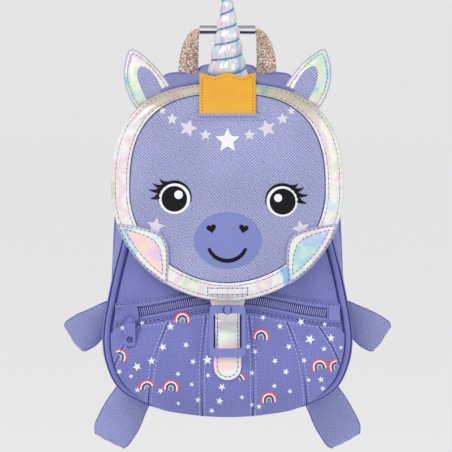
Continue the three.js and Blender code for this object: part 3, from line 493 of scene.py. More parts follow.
class Look:
    def __init__(self, name, **surface):
        self.material = bpy.data.materials.new(name)
        self.material.use_nodes = True
        self.tree = self.material.node_tree
        self.shader = self.tree.nodes["Principled BSDF"]
        self.set(self.shader, surface)

    def set(self, node, values):
        for key, value in values.items():
            socket = node.inputs[int(key[1:])] if key[0] == "_" else node.inputs[key.replace("_", " ")]
            if isinstance(value, bpy.types.NodeSocket):
                self.tree.links.new(value, socket)
            else:
                socket.default_value = value

    def node(self, kind, out=0, props=(), **values):
        node = self.tree.nodes.new("ShaderNode" + kind)
        for key, value in dict(props).items():
            setattr(node, key, value)
        self.set(node, values)
        return node.outputs[out]

    def math(self, operation, a, b=0.0, c=0.0):
        return self.node("Math", props={"operation": operation}, _0=a, _1=b, _2=c)

    def ramp(self, fac, stops, smooth_steps=True):
        node = self.tree.nodes.new("ShaderNodeValToRGB")
        self.set(node, {"_0": fac})
        node.color_ramp.interpolation = "LINEAR" if smooth_steps else "CONSTANT"
        while len(node.color_ramp.elements) < len(stops):
            node.color_ramp.elements.new(0.5)
        for element, (place, *value) in zip(node.color_ramp.elements, stops):
            element.position, element.color = place, colour(*value) if len(value) == 3 else value[0]
        return node.outputs[0]

    def mix(self, fac, a, b, blend="MIX"):
        node = self.tree.nodes.new("ShaderNodeMix")
        node.data_type, node.blend_type = "RGBA", blend
        for place, value in ((0, fac), (6, a), (7, b)):
            self.set(node, {f"_{place}": value})
        return node.outputs[2]

    def place(self):
        return self.node("TexCoord", out=3)

    def noise(self, scale, detail=2.0, vector=None, distortion=0.0, roughness=0.5):
        return self.node("TexNoise", Vector=vector or self.place(), Scale=scale, Detail=detail,
                         Distortion=distortion, Roughness=roughness)

    def bump(self, height, strength, distance):
        normal = self.node("Bump", Height=height, Strength=strength, Distance=distance)
        self.set(self.shader, {"Normal": normal})

    def done(self, base):
        self.set(self.shader, {"Base_Color": base})
        return self.material


def weave(look, period, turn=0.0):
    """A plain weave's height from 0 to 1, in the cloth's own plane."""
    flat = look.node("Attribute", out=1, props={"attribute_name": "cloth"})
    if turn:
        flat = look.node("VectorRotate", Vector=flat, Angle=turn)
    parts = look.tree.nodes.new("ShaderNodeSeparateXYZ")
    look.set(parts, {"_0": flat})
    uneven = look.math("MULTIPLY", look.noise(260, 1.0, flat), period * 0.9)
    waves = [look.math("SINE",
                       look.math("MULTIPLY", look.math("ADD", parts.outputs[k], uneven), TAU / period))
             for k in (0, 1)]
    return look.math("MULTIPLY_ADD", look.math("MULTIPLY", waves[0], waves[1]), 0.5, 0.5), flat


def cloth_look(name, dark, light, period=0.0022, depth=0.7, turn=0.0, roughness=0.85, cloud=0.16):
    look = Look(name, Roughness=roughness, Sheen_Weight=0.12, Sheen_Roughness=0.5, Specular_IOR_Level=0.25)
    yarn, flat = weave(look, period, turn)
    speck = look.noise(900, 2.0, flat)
    mixed = look.math("MULTIPLY_ADD", look.math("SUBTRACT", speck, 0.5), 1.1, yarn)
    share = look.math("MULTIPLY_ADD", look.math("SUBTRACT", mixed, 0.5), depth, 0.5)
    base = look.mix(share, colour(*dark), colour(*light))
    patchy = look.noise(22, 3.0)
    shade = look.ramp(patchy, [(0.3, (1 - cloud,) * 3 + (1,)), (0.7, WHITE)])
    look.bump(yarn, 0.35, 0.0004)
    return look.done(look.mix(1.0, base, shade, "MULTIPLY"))


def film_look(name, stops, scale=26, streak=(1, 1, 1), roughness=0.3, metallic=0.12, tint=0.35, painted_top_shade=None):
    look = Look(name, Roughness=roughness, Metallic=metallic, Coat_Weight=0.45, Coat_Roughness=0.2,
                Specular_IOR_Level=0.6)
    spot = look.node("Mapping", Vector=look.place(), Scale=streak)
    wide = look.noise(scale, 1.0, spot, 0.6)
    fine = look.noise(scale * 4, 2.0, spot, 0.3)
    both = look.math("MULTIPLY_ADD", look.math("SUBTRACT", fine, 0.5), tint, wide)
    crinkle = look.math("ADD", look.noise(180, 3.0, spot),
                        look.math("MULTIPLY", look.noise(1100, 1.0), 0.15))
    look.bump(crinkle, 0.18, 0.0012)
    base = look.ramp(both, stops)
    # Painted shade: from about 69 mm to 48 mm below the origin the film fades into being multiplied by a
    # grey-green tint, for the darker reflection where the flap's edge curls back to face up
    if painted_top_shade:
        parts = look.tree.nodes.new("ShaderNodeSeparateXYZ")
        look.set(parts, {"_0": look.place()})
        high = look.ramp(look.math("MULTIPLY_ADD", parts.outputs[2], 1 / 0.03, 0.072 / 0.03),
                         [(0.1, BLACK), (0.8, WHITE)])
        base = look.mix(high, base, look.mix(1.0, base, colour(*painted_top_shade), "MULTIPLY"))
    return look.done(base)


def plain_look(name, base, roughness=0.5, grain=600, strength=0.1, vary=0.08, metallic=0.0, **more):
    look = Look(name, Roughness=roughness, Metallic=metallic, **more)
    base = colour(*base)
    darker = tuple(c * (1 - vary * 2) for c in base[:3]) + (1.0,)
    look.bump(look.noise(grain, 3.0), strength, 0.0004)
    return look.done(look.mix(look.ramp(look.noise(90, 4.0), [(0.3, BLACK), (0.7, WHITE)]), darker, base))


def print_look(name, base):
    """Ink on cloth: the colour with the weave showing through as relief."""
    look = Look(name, Roughness=0.7, Specular_IOR_Level=0.2)
    yarn, flat = weave(look, 0.0022)
    look.bump(yarn, 0.22, 0.0003)
    faint = look.math("MULTIPLY_ADD", look.noise(500, 2.0, flat), 0.14, 0.9)
    return look.done(look.mix(1.0, colour(*base), look.node("CombineXYZ", X=faint, Y=faint, Z=faint),
                              "MULTIPLY"))


flap_cloth = cloth_look("flap_cloth", (114, 117, 172), (186, 190, 220), depth=0.95)
bag_cloth = cloth_look("bag_cloth", (100, 101, 172), (144, 148, 208), period=0.0019)
side_cloth = cloth_look("side_cloth", (104, 107, 174), (146, 151, 206), period=0.0019)
limb_cloth = cloth_look("limb_cloth", (116, 120, 180), (172, 177, 220), period=0.0018, turn=0.7)
print_cloth = cloth_look("print_cloth", (98, 100, 170), (138, 143, 204), period=0.0017, turn=0.78,
                         depth=0.85)
back_mesh = cloth_look("back_mesh", (84, 84, 158), (140, 142, 208), period=0.0034, depth=1.1)
web_cloth = cloth_look("web_cloth", (92, 93, 172), (134, 137, 206), period=0.0024, depth=1.0)
piping_look = cloth_look("piping_cloth", (106, 108, 178), (134, 137, 204), period=0.0012, depth=0.5)
# Pearl film, its upper part darkened with painted shade and reflection
pearl = film_look("pearl_film", [(0.28, 140, 184, 226), (0.34, 190, 216, 226), (0.4, 228, 232, 224),
                                 (0.46, 226, 222, 212), (0.52, 232, 230, 232), (0.57, 226, 204, 212),
                                 (0.62, 228, 228, 216), (0.68, 208, 216, 188), (0.75, 196, 188, 222)],
                  22, tint=0.34, painted_top_shade=(206, 202, 184))
patch_pink = film_look("patch_film_pink",
                       [(0.3, 232, 226, 196), (0.42, 238, 202, 188), (0.5, 236, 208, 214),
                        (0.6, 222, 190, 216), (0.7, 214, 210, 230)], 38, tint=0.3)
patch_aqua = film_look("patch_film_aqua", [(0.3, 170, 190, 226), (0.42, 164, 208, 216),
                                           (0.5, 196, 222, 208), (0.6, 160, 196, 226),
                                           (0.7, 206, 200, 228)],
                       38, tint=0.3)
horn_film = film_look("horn_film", [(0.28, 188, 178, 226), (0.36, 232, 192, 206), (0.43, 230, 220, 184),
                                    (0.5, 186, 214, 224), (0.56, 228, 222, 232), (0.62, 226, 190, 208),
                                    (0.68, 140, 200, 214), (0.76, 184, 184, 228)],
                      62, streak=(2.6, 2.6, 0.4), roughness=0.2, metallic=0.3, tint=0.3)
ear_film = film_look("ear_film", [(0.3, 150, 186, 222), (0.38, 196, 222, 206), (0.46, 218, 218, 186),
                                  (0.53, 232, 230, 230), (0.61, 222, 198, 208), (0.7, 190, 182, 220)],
                     40, tint=0.25)
strap_film = film_look("strap_film", [(0.3, 238, 238, 236), (0.42, 222, 226, 216), (0.5, 236, 206, 214),
                                      (0.58, 238, 212, 200), (0.66, 196, 222, 204)], 34,
                       streak=(0.35, 0.35, 1.6))
label_look = plain_look("label_leather", (226, 164, 34), 0.55, 900, 0.25, 0.05)


def chrome_painted_reflection_look():
    """Polished metal, its colour painted with the studio's reflection on a flat tube: bands over height of
    grey, a dark line, a painted white highlight and grey again.
    """
    look = Look("grip_chrome", Roughness=0.16, Metallic=0.85)
    parts = look.tree.nodes.new("ShaderNodeSeparateXYZ")
    look.set(parts, {"_0": look.place()})
    wavy = look.math("MULTIPLY", look.noise(60, 1.0), 0.0008)
    height = look.math("MULTIPLY", look.math("ADD", parts.outputs[2], wavy), 1 / 0.0072)
    return look.done(look.ramp(height, [(0.0, 190, 190, 192), (0.16, 176, 176, 180), (0.24, 52, 54, 60),
                                        (0.34, 60, 62, 70), (0.42, 252, 252, 252), (0.6, 246, 246, 246),
                                        (0.72, 150, 152, 156), (1.0, 176, 178, 180)]))


chrome = chrome_painted_reflection_look()
plastic = plain_look("buckle_plastic", (118, 123, 188), 0.38, 700, 0.08, 0.03)
zip_plastic = plain_look("zip_plastic", (112, 114, 184), 0.3, 700, 0.1, 0.04)
zip_nylon = plain_look("zip_nylon", (168, 170, 226), 0.4, 900, 0.1, 0.06)
zip_dark = plain_look("zip_dark", (52, 50, 126), 0.7, 900, 0.3, 0.1)
# Dark lines: real dark seams and thread, and also painted shade in the buckle window's gaps, round the
# prong's seat and along the pocket's pleat seams
dark_seam_and_painted_shade = plain_look("dark_seam_and_painted_shade", (46, 42, 118), 0.9, 900, 0.3, 0.1)
thread_pale = plain_look("thread_pale", (196, 196, 236), 0.7, 1500, 0.4, 0.06)
thread_grey = plain_look("thread_grey", (176, 178, 206), 0.7, 1500, 0.4, 0.06)
hole_dark = plain_look("hole_dark", (84, 84, 128), 0.9, 900, 0.2, 0.1)
horn_cord = plain_look("horn_cord", (92, 142, 184), 0.45, 1200, 0.3, 0.1)
thread_ochre = plain_look("thread_ochre", (150, 96, 20), 0.8, 1500, 0.4, 0.1)
ink_black = print_look("ink_black", (10, 11, 14))
ink_white = print_look("ink_white", (232, 234, 240))
ink_muzzle = print_look("ink_muzzle", (124, 132, 190))
ink_star_pink = print_look("ink_star_pink", (214, 206, 222))
ink_star_mint = print_look("ink_star_mint", (208, 213, 212))
ink_red = print_look("ink_red", (222, 92, 84))
ink_navy = print_look("ink_navy", (52, 74, 150))
ink_tan = print_look("ink_tan", (206, 190, 150))


def glitter_look():
    look = Look("glitter_web", Roughness=0.42, Metallic=0.25, Specular_IOR_Level=0.6)
    cell = look.node("TexVoronoi", out=1, Vector=look.place(), Scale=1250.0)
    value = look.node("SeparateColor", _0=cell)
    base = look.ramp(value, [(0.0, 132, 104, 84), (0.28, 188, 158, 136), (0.6, 216, 190, 170),
                             (0.86, 244, 232, 220)], False)
    look.bump(value, 0.5, 0.0004)
    return look.done(base)


glitter = glitter_look()


# Bag
turns = np.arange(288) / 288
step, share = lattice(turns, np.linspace(0, 1, 45))


def disc(rim, middle, face, thick, extra):
    """Front and back grids of a round panel, from its rim in x and z."""
    rx, rz = rim(step)
    x, z = lerp(middle[0], rx, share), lerp(middle[1], rz, share)
    y = face(x, z) + extra(x, z, share)
    return join(x, y, z), join(x, y + thick, z)


def panel_fold(x, z, s):
    pull = 1.2 * np.exp(-((np.abs(x) - 58) / 12) ** 2) * np.sin((z + 0.7 * np.abs(x)) / 5.5) * smooth(z,
            -206, -190) * smooth(-z, 150, 165)
    return (0.7 * wrinkle(x, z, 3, 34) - pull * 0.8) * (1 - s**6)


front, back = disc(lambda t: front_line.place(t, -PIPING_INSET), (0, PANEL_MIDDLE), front_face, CLOTH,
                   extra=panel_fold)
panel = Piece("front_panel_cloth").shell(front, back, True).build(bag_cloth, slot="bag_cloth",
        replaces=["front_panel"])

MOUTH = 43.3
start = float(np.interp(MOUTH, back_line.at(np.linspace(0, 0.2, 900))[:, 0], np.linspace(0, 0.2, 900)))
turn, across = lattice(np.linspace(start, 1 - start, 420), np.linspace(0, 1, 31))
soft = 0.9 * wrinkle(turn * 640, across * BAG_DEPTH, 5, 38) + 0.5 * wrinkle(turn * 640, across * BAG_DEPTH,
        6, 15)
edge = np.sin(np.pi * across) ** 0.6
outer = gusset_point(turn, across, -0.2 + soft * edge)
inner = gusset_point(turn, across, -CLOTH + soft * edge)
band = Piece("side_band_cloth").shell(outer, inner,
                                      flat=join(turn * back_line.length, across * BAG_DEPTH)).build(
    side_cloth, slot="bag_cloth", replaces=["side_band"])

piping = Piece("piping_cord")
ring_turn = np.arange(420) / 420
px, pz = front_line.place(ring_turn, -PIPING)
piping.tube(join(px, np.full(420, -78.55), pz), PIPING, 14, True)
piping.build(piping_look, slot="piping_cloth", replaces=["front_piping"])

seams = Piece("piping_seams")
for inset, depth, radius in ((4.75, -79.9, 0.45), (-0.5, -76.4, 0.45)):
    px, pz = front_line.place(ring_turn, -inset)
    seams.tube(join(px, np.full(420, depth), pz), radius, 6, True, look=0)
px, pz = front_line.place(ring_turn, 0.2)
seams.tube(join(px * 1.004, np.full(420, -73.6), pz), 1.25, 8, True, look=1)
bx, bz = back_line.place(ring_turn, -0.2)
seams.tube(join(bx, np.full(420, 0.9), bz), 1.9, 10, True, look=1)
seams.build([dark_seam_and_painted_shade, piping_look], slot="piping_cloth")


# Back panel: a padded plate with a quilted cross and a bound edge
def back_face(x, z):
    s = np.minimum(1, back_polar.share(x, z))
    quilt = np.minimum(np.abs(np.abs(x) - QUILT_LINE), 6) / 6
    rows = np.minimum(np.abs(((z + 260) % 52) - 26), 5) / 5
    return BACK_FACE - 1.4 + 1.6 * (1 - s**8) * (0.35 + 0.65 * np.sqrt(np.clip(quilt * rows, 0, 1)))


back_polar = Polar(np.stack(back_line.place(np.arange(720) / 720), -1), (0, -148))
rx, rz = back_line.place(step)
x, z = lerp(0, rx, share), lerp(-148, rz, share)
back_pad = Piece("back_panel_padded").shell(join(x, 0 * x + 1.05, z), join(x, back_face(x, z), z),
                                            True).build(
    back_mesh, slot="bag_cloth", replaces=["back_panel"])


# Cloth over the mouth
def mouth_front(x):
    level = 1 - (np.abs(x) / FLAP_HALF) ** 2.7
    z = FLAP_MIDDLE + FLAP_HEIGHT / 2 * level ** (1 / 2.7)
    return flap_face(x, z) + CLOTH / 2, z + 2 * GAP


def mouth_height(x, y):
    fy, fz = mouth_front(x)
    s = np.clip((-1.05 - y) / (-1.05 - fy), 0, 1)
    turns = np.linspace(0, 0.2, 400)
    top = back_line.at(turns)
    return lerp(np.interp(np.abs(x), top[:, 0], top[:, 1]) - CLOTH, fz, s**2)


def mouth_point(along, across, up=0.0):
    x = lerp(47, 45.5, along) * (2 * across - 1)
    y = lerp(mouth_front(x)[0], -1.05, along)
    return join(x, y, mouth_height(x, y) + up)


al, ac = lattice(np.linspace(0, 1, 60), np.linspace(0, 1, 60))
sag = 0.5 * wrinkle(ac * 80, al * 80, 8, 24) * np.sin(np.pi * al) * np.sin(np.pi * ac)
cover = Piece("mouth_cloth").shell(mouth_point(al, ac, CLOTH + sag), mouth_point(al, ac, sag),
                                   flat=join(ac * 86, al * 80))
# The cover's sides fold down to the side band's ends
for side in (0, 1):
    down_al, down = lattice(np.linspace(0.01, 0.99, 60), np.linspace(0, 1, 12))
    sign = 2 * side - 1
    upper = mouth_point(down_al, side + 0 * down_al, 0.6)
    lower = gusset_point(start + 0 * down_al, 1 - down_al, -1.2)
    lower[..., 0] *= sign
    fold = upper + (lower - upper) * down[..., None]
    fold[..., 0] += sign * (0.5 * np.sin(np.pi * down) - 0.9)
    inside = fold - np.array((sign * CLOTH, 0, 0))
    cover.shell(fold, inside, flat=join(down_al * 80, down * 14))
cover.build(side_cloth, slot="bag_cloth", replaces=["mouth_cover"])

# A folded tab of cloth over the bag's rear edge
tab = Piece("top_tab")
al, ac = lattice(np.linspace(0, 1, 24), np.linspace(-1, 1, 40))
tab_x = ac * 19.5
curl = lerp(-1.5, 3.4, np.sin(np.pi * al))
tab.shell(join(tab_x, lerp(-7, 3.2, al), -26.4 + curl * (1 - np.abs(ac) ** 12)),
          join(tab_x, lerp(-7, 3.2, al), -31 + 0 * curl))
tab.build(bag_cloth, slot="bag_cloth")


# Head flap
def flap_relief(x, z, s):
    return 0.35 * wrinkle(x, z, 11, 46) - 0.6 * np.sin(np.pi * np.clip(s, 0, 1)) ** 2


front, back = disc(lambda t: flap_line(t, GAP), (0, FLAP_MIDDLE), flap_face, CLOTH, extra=flap_relief)
flap = Piece("flap_cloth").shell(front, back, True).build(flap_cloth, slot="flap_cloth",
        replaces=["flap_panel"])
rim, run = np.meshgrid(np.arange(900) / 900, np.linspace(0, 1, 260))
rx, rz = flap_line(rim, GAP)
x, z = lerp(0, rx, run), lerp(FLAP_MIDDLE, rz, run)
fine_front = join(x.ravel(), (flap_face(x, z) + flap_relief(x, z, run)).ravel(), z.ravel())
flap_skin = Relief(np.concatenate((front.reshape(-1, 3), fine_front)))

# The bound edge's section: inset from the flap's edge, and depth behind the cloth's face
SECTION = ((12.5, 0.2), (12.45, -0.9), (12.0, -1.45), (11.2, -1.6), (10.4, -1.35), (9.4, -1.85),
           (6.2, -2.1), (3.4, -1.85),
           (2.4, -1.4), (1.5, -1.65), (0.6, -1.45), (-0.1, -0.9), (-0.5, 0.2), (-0.5, 1.4), (0.0, 2.4),
           (1.6, 2.9),
           (11.0, 2.9), (12.2, 2.5))
section = np.array(SECTION)
ring_turn = np.arange(480) / 480
ft, inset = lattice(ring_turn, section[:, 0])
bx, bz = flap_line(ft, inset)
by = flap_face(bx, bz) + section[:, 1][None] + 0.12 * wrinkle(bx * 3, bz * 3, 12, 30)
band = join(bx, by, bz)
ids = np.arange(band.shape[0] * band.shape[1]).reshape(band.shape[:2])
grid = np.concatenate((ids, ids[:1]))
grid = np.concatenate((grid, grid[:, :1]), 1)
quads = quads_of(grid)
Piece("flap_binding").add(band, quads).build(pearl, slot="pearl_film", replaces=["flap_border"])

stitching = Piece("binding_stitches")
fine = np.arange(720) / 720
for inset, depth in ((2.4, 1.45), (10.4, 1.4)):
    sx, sz = flap_line(fine, inset)
    sew_on(stitching, sx, sz, flap_face, depth, pitch=3.5, length=2.5, radius=0.34, thread=0, holes=1,
           closed=True)
side_x = np.linspace(-14, 14, 60)
foot = FLAP_FOOT
for z_at in (foot + 4.4, foot + 9.0):
    sew_on(stitching, side_x, z_at + 0.0008 * side_x**2 + 0 * side_x, flap_face, 2.1, pitch=3.5,
           length=2.5, radius=0.3, thread=0, holes=1)
for x_at in (-14, 14):
    z_run = np.linspace(foot + 4.6, foot + 9, 12)
    sew_on(stitching, np.full(12, float(x_at)), z_run, flap_face, 2.0, pitch=2.3, length=1.6, radius=0.3,
           thread=0, holes=1)
edge_x, edge_z = flap_line(fine, 12.7)
stitching.tube(join(edge_x, flap_face(edge_x, edge_z) - 0.1, edge_z), 0.5, 6, True, look=2)
stitching.build([thread_grey, hole_dark, dark_seam_and_painted_shade], slot="pearl_film")

# Leaf patches over the binding
for word, sign, film in (("left", -1, patch_pink), ("right", 1, patch_aqua)):
    run = np.linspace(0, 1, 90)
    leaf_turn = lerp(0.299, 0.41, run) * sign
    width = np.maximum(0.6, 24 * np.sin(np.pi * run).clip(0) ** 0.7)
    ox, oz = flap_line(leaf_turn, -0.4)
    ix, iz = flap_line(leaf_turn, width)
    leaf = np.concatenate((join(ox, oz), join(ix, iz)[::-1]))
    middle = leaf.mean(0)
    patch = Piece(f"leaf_patch_{word}_film")
    patch.pad(leaf, middle, flap_face, 2.5, 1.9, 0.35, 12, 0, round_edge=0.8)
    lens_turn = lerp(0.311, 0.398, run) * sign
    lx, lz = flap_line(lens_turn, 4.0 + 0 * run)
    mx, mz = flap_line(lens_turn, 4.2 + 13.5 * np.sin(np.pi * run).clip(0) ** 0.8)
    lens = np.concatenate((join(lx, lz), join(mx, mz)[::-1]))
    patch.pad(lens, lens.mean(0), flap_face, 2.95, 1.2, 0.5, 12, 1, round_edge=0.25)
    for ring in (middle + (leaf - middle) * 0.93, lens.mean(0) + (lens - lens.mean(0)) * 0.99):
        sew_on(patch, ring[:, 0], ring[:, 1], flap_face, 2.75, pitch=3.3, length=2.3, radius=0.3, thread=2,
               holes=3, closed=True)
    rim_line = join(leaf[:, 0], flap_face(leaf[:, 0], leaf[:, 1]) - 1.8, leaf[:, 1])
    patch.tube(rim_line, 0.45, 6, True, look=2)
    patch.build([pearl, film, thread_grey, hole_dark], slot="patch_film", replaces=[f"leaf_patch_{word}"])


# Prints on the face
def circle(px, py, radius, squeeze=1.0, count=72):
    a = np.arange(count) / count * TAU
    return join(px + radius * np.cos(a), py + squeeze * radius * np.sin(a))


def star(px, py, radius, lean=0.0, inner=0.46):
    corner = []
    for i in range(10):
        r = radius * (inner if i % 2 else 1)
        a = math.radians(lean) + i * TAU / 10
        corner.append((px + r * math.sin(a), py - r * math.cos(a)))
    corner = np.array(corner)
    t = np.linspace(0, 1, 5, endpoint=False)[:, None]
    return np.concatenate([lerp(corner[i], corner[(i + 1) % 10], t) for i in range(10)])


def heart(px, py, size, lean):
    a = np.arange(60) / 60 * TAU
    hx, hy = 16 * np.sin(a) ** 3, -(13 * np.cos(a) - 5 * np.cos(2 * a) - 2 * np.cos(3 * a) - np.cos(4 * a))
    c, s = math.cos(lean), math.sin(lean)
    return join(px + size / 32 * (hx * c - hy * s), py + size / 32 * (hx * s + hy * c))


def ink(piece, outline, middle, face, lift=0.22, look=0, rings=6):
    x, _, z = pin(outline[:, 0], outline[:, 1], face)
    mx, _, mz = pin(middle[0], middle[1], face)
    piece.pad(join(x, z), (float(mx), float(mz)), face, lift, lift + 0.5, 0.0, rings, look)


def ribbon(line, half):
    """The outline of a stroke along a line of pixels, with its half width at each point."""
    line = np.asarray(line, float)
    t = np.gradient(line, axis=0)
    t /= np.linalg.norm(t, axis=1)[:, None]
    side = join(-t[:, 1], t[:, 0]) * np.broadcast_to(half, (len(line),))[:, None]
    return line + side, line - side


def ink_stroke(piece, line, half, face, lift=0.25, look=0):
    a, b = ribbon(line, half)
    t = np.linspace(0, 1, 5)
    grid = lerp(a[:, None], b[:, None], t[None, :, None])
    x, y, z = pin(grid[..., 0], grid[..., 1], face)
    piece.shell(join(x, y - lift, z), join(x, y + 0.4, z), look=look)


face_print = Piece("face_print")
INKS = [ink_black, ink_white, ink_muzzle, ink_star_pink, ink_star_mint]
ink(face_print, circle(227.9, 240.5, 34, 28.4 / 34, 96), (227.9, 240.5), flap_skin, 0.16, 2, 14)
for ex, ey, outer_r, inner_r, bx_, by_, hx_, hy_, hr in (
        (174.6, 198.4, 15.6, 12.8, 174.3, 198.8, 178.6, 194.7, 4.3),
            (282.2, 201.1, 15.5, 13.0, 282.6, 201.6, 278.1, 197.9, 4.0)):
    mirror = -1 if ex < 227 else 1
    ink(face_print, circle(ex, ey, outer_r), (ex, ey), flap_skin, 0.18, 1, 6)
    ink(face_print, circle(bx_, by_, inner_r), (bx_, by_), flap_skin, 0.3, 0, 6)
    ink(face_print, circle(hx_, hy_, hr, 1, 36), (hx_, hy_), flap_skin, 0.42, 1, 4)
    a = np.radians(np.linspace(-14, 188, 70))
    lid = join(ex - mirror * (outer_r + 0.9) * np.cos(a), ey - (outer_r + 0.9) * np.sin(a))
    swell = np.sin(np.linspace(0, np.pi, 70)).clip(0) ** 0.8
    ink_stroke(face_print, lid, 0.3 + 1.3 * swell * np.linspace(0.6, 1.2, 70), flap_skin, 0.26, 0)
    tips = ((159.8, 179), (153, 183.6), (149, 189.5), (150.7, 198.4)) if mirror < 0 else (
        (297.7, 183.6), (303.8, 187.6), (308, 194.7), (306.5, 203))
    for k, (tx, ty) in enumerate(tips):
        lean = math.atan2(ty - ey, tx - ex) - mirror * 0.16
        base = np.array((ex + (outer_r + 0.6) * math.cos(lean), ey + (outer_r + 0.6) * math.sin(lean)))
        away = np.array((tx, ty)) - base
        bend = base + 0.5 * away + 1.7 * np.array((-away[1], away[0])) / np.linalg.norm(away) * mirror
        q = np.linspace(0, 1, 16)[:, None]
        lash = (1 - q) ** 2 * base + 2 * q * (1 - q) * bend + q**2 * np.array((tx, ty))
        ink_stroke(face_print, lash, lerp(2.9, 0.3, q[:, 0] ** 0.9), flap_skin, 0.3, 0)
ink(face_print, heart(211.4, 228.4, 9.6, -0.2), (211, 228.2), flap_skin, 0.3, 0, 5)
ink(face_print, heart(243.6, 228.6, 9.6, 0.2), (243.5, 228.6), flap_skin, 0.3, 0, 5)
a = np.radians(np.linspace(162, 18, 50))
smile = join(227.3 + 19.4 * np.cos(a), 242.6 + 18.2 * np.sin(a))
ink_stroke(face_print, smile, 2.0 * np.sin(np.linspace(0.28, np.pi - 0.28, 50)) ** 0.25, flap_skin, 0.34, 0)
for px_, py_, r_, lean, look in ((162.3, 110.5, 4.4, 6, 4), (172.2, 119, 6.3, 4, 4),
                                 (188.2, 128.2, 9.6, 18, 3), (205.6, 134.9, 6.3, 0, 4),
                                 (227.6, 140.5, 12.8, 0, 1), (249.6, 134.9, 6.3, 0, 4),
                                 (267, 128.6, 9.6, -18, 3), (282.6, 119, 6.3, -4, 4),
                                 (291.3, 111, 4.4, -6, 4), (155.5, 226.6, 9.6, 12, 3),
                                 (301.2, 229, 9.6, -14, 3)):
    ink(face_print, star(px_, py_, r_, lean), (px_, py_), flap_skin, 0.24, look, 5)
face_print.build(INKS, slot="flap_cloth", sharp=35)


# Label and its stitched slot
def label_face(x, z):
    straight = FLAP_TOP - BORDER_TOP
    slope = float(flap_face(0, straight) - flap_face(0, straight - 1))
    return flap_face(0, np.minimum(z, straight)) + np.maximum(0,
            z - straight) * slope - 1.5 - GAP + 0.0022 * x**2


LABEL_X, LABEL_TOP, LABEL_FOOT = 19.8, -29.7, -56.7
al, ac = lattice(np.linspace(0, 1, 50), np.linspace(0, 1, 70))
lx = lerp(-LABEL_X, LABEL_X, ac)
lz = lerp(LABEL_FOOT - 1.5, LABEL_TOP, al) + 1.25 * np.cos(4 * np.pi * ac) * al**3
round_off = 0.35 * (smooth(np.abs(lx), LABEL_X - 0.9, LABEL_X) ** 2 + smooth(al, 0.97, 1.0) ** 2)
ly = label_face(lx, lz) + 0.12 * wrinkle(lx, lz, 31, 20)
label = Piece("label_leather_tab")
label.shell(join(lx, ly - FILM + round_off, lz), join(lx, ly, lz))
lab_face = lambda x, z: label_face(x, z) - FILM
for x_at in (-LABEL_X + 1.9, LABEL_X - 1.9):
    z_run = np.linspace(LABEL_FOOT + 0.5, LABEL_TOP - 2.2, 60)
    sew_on(label, np.full(60, x_at), z_run, lab_face, 0.0, pitch=2.6, length=1.0, radius=0.42, thread=1)
x_run = np.linspace(-LABEL_X + 2.4, LABEL_X - 2.4, 80)
sew_on(label, x_run, LABEL_TOP - 2.3 + 1.25 * np.cos(4 * np.pi * (x_run / 2 / LABEL_X + 0.5)), lab_face,
       0.0, pitch=2.6, length=1.0,
       radius=0.42, thread=1)
label.build([label_look, thread_ochre], slot="label_leather", replaces=["label_tab"])

slot_piece = Piece("label_slot")
al, ac = lattice(np.linspace(0, 1, 14), np.linspace(-1, 1, 90))
wx = ac * lerp(27.0, 24.0, al)
wz = lerp(-61.8, -57.0, al)
rise = 1.1 * smooth(al, 0, 0.25) + 3.0 * smooth(al, 0.5, 0.9) * smooth(-np.abs(ac), -0.97, -0.8)
slot_piece.shell(join(wx, flap_face(wx, wz) - 0.3 - rise, wz), join(wx, flap_face(wx, wz) + 0.6, wz))
for run_x, run_z in ((np.linspace(-26, 26, 80), np.full(80, -60.9)),
                     (np.linspace(-26, -22.5, 12), np.linspace(-60.9, -54.5, 12)),
                     (np.linspace(26, 22.5, 12), np.linspace(-60.9, -54.5, 12))):
    sew_on(slot_piece, run_x, run_z, flap_face, 1.5, pitch=2.4, length=1.7, radius=0.28, thread=1)
sew_on(slot_piece, np.linspace(-21, 21, 70), np.full(70, -58.1), flap_face, 4.45, pitch=2.0, length=1.5,
       radius=0.34, thread=1)
slot_piece.build([flap_cloth, thread_pale], slot="flap_cloth")

# Horn
horn_middle = float(mouth_front(np.array(0.0))[0]) + 3 + HORN_RADIUS
horn_top = float(mouth_front(np.array(0.0))[1]) + HORN_HEIGHT


def horn_point(along, angle, girth_scale=1.0, groove_depth=2.1):
    cone = HORN_RADIUS * (1 - HORN_TAPER * along) * np.sqrt(np.clip((1 - along) / 0.12, 0, 1))
    turn_count = along * HORN_HEIGHT / HORN_PITCH - (angle + np.pi / 2) / TAU
    groove = groove_depth * (1 - np.abs(np.sin(np.pi * turn_count)) ** 0.55) * np.minimum(1,
            4 * (1 - along))
    streaks = 0.22 * np.sin(9 * angle + 3 * turn_count) * (1 - along) + 0.14 * np.sin(17 * angle - 5
            * turn_count)
    girth = np.maximum(0.15, cone + 0.5 - groove + streaks) * girth_scale
    hx, hy = girth * np.sin(angle), horn_middle - girth * np.cos(angle)
    seat = mouth_height(hx, hy) + CLOTH - 0.4
    return join(hx, hy, seat + along * (horn_top - seat))


al, an = lattice(np.linspace(0, 1, 260), np.arange(84) / 84 * TAU)
horn = Piece("horn_padded")
skin = horn_point(al, an)
horn.capped(skin)
for wind in range(0, 6):
    angle = np.linspace(-1.5 * np.pi, 0.5 * np.pi, 90)
    along = (wind + (angle + np.pi / 2) / TAU) * HORN_PITCH / HORN_HEIGHT
    keep = (along > 0.015) & (along < 0.965)
    if keep.sum() > 4:
        line = horn_point(along[keep], angle[keep], 0.99, 2.1)
        outward = join(np.sin(angle[keep]), -np.cos(angle[keep]), 0 * angle[keep])
        horn.tube(line + outward * 0.2, 1.0, 8, look=1, up=(0, 0, 1))
horn_object = horn.build([horn_film, horn_cord], slot="horn_film", replaces=["horn"])

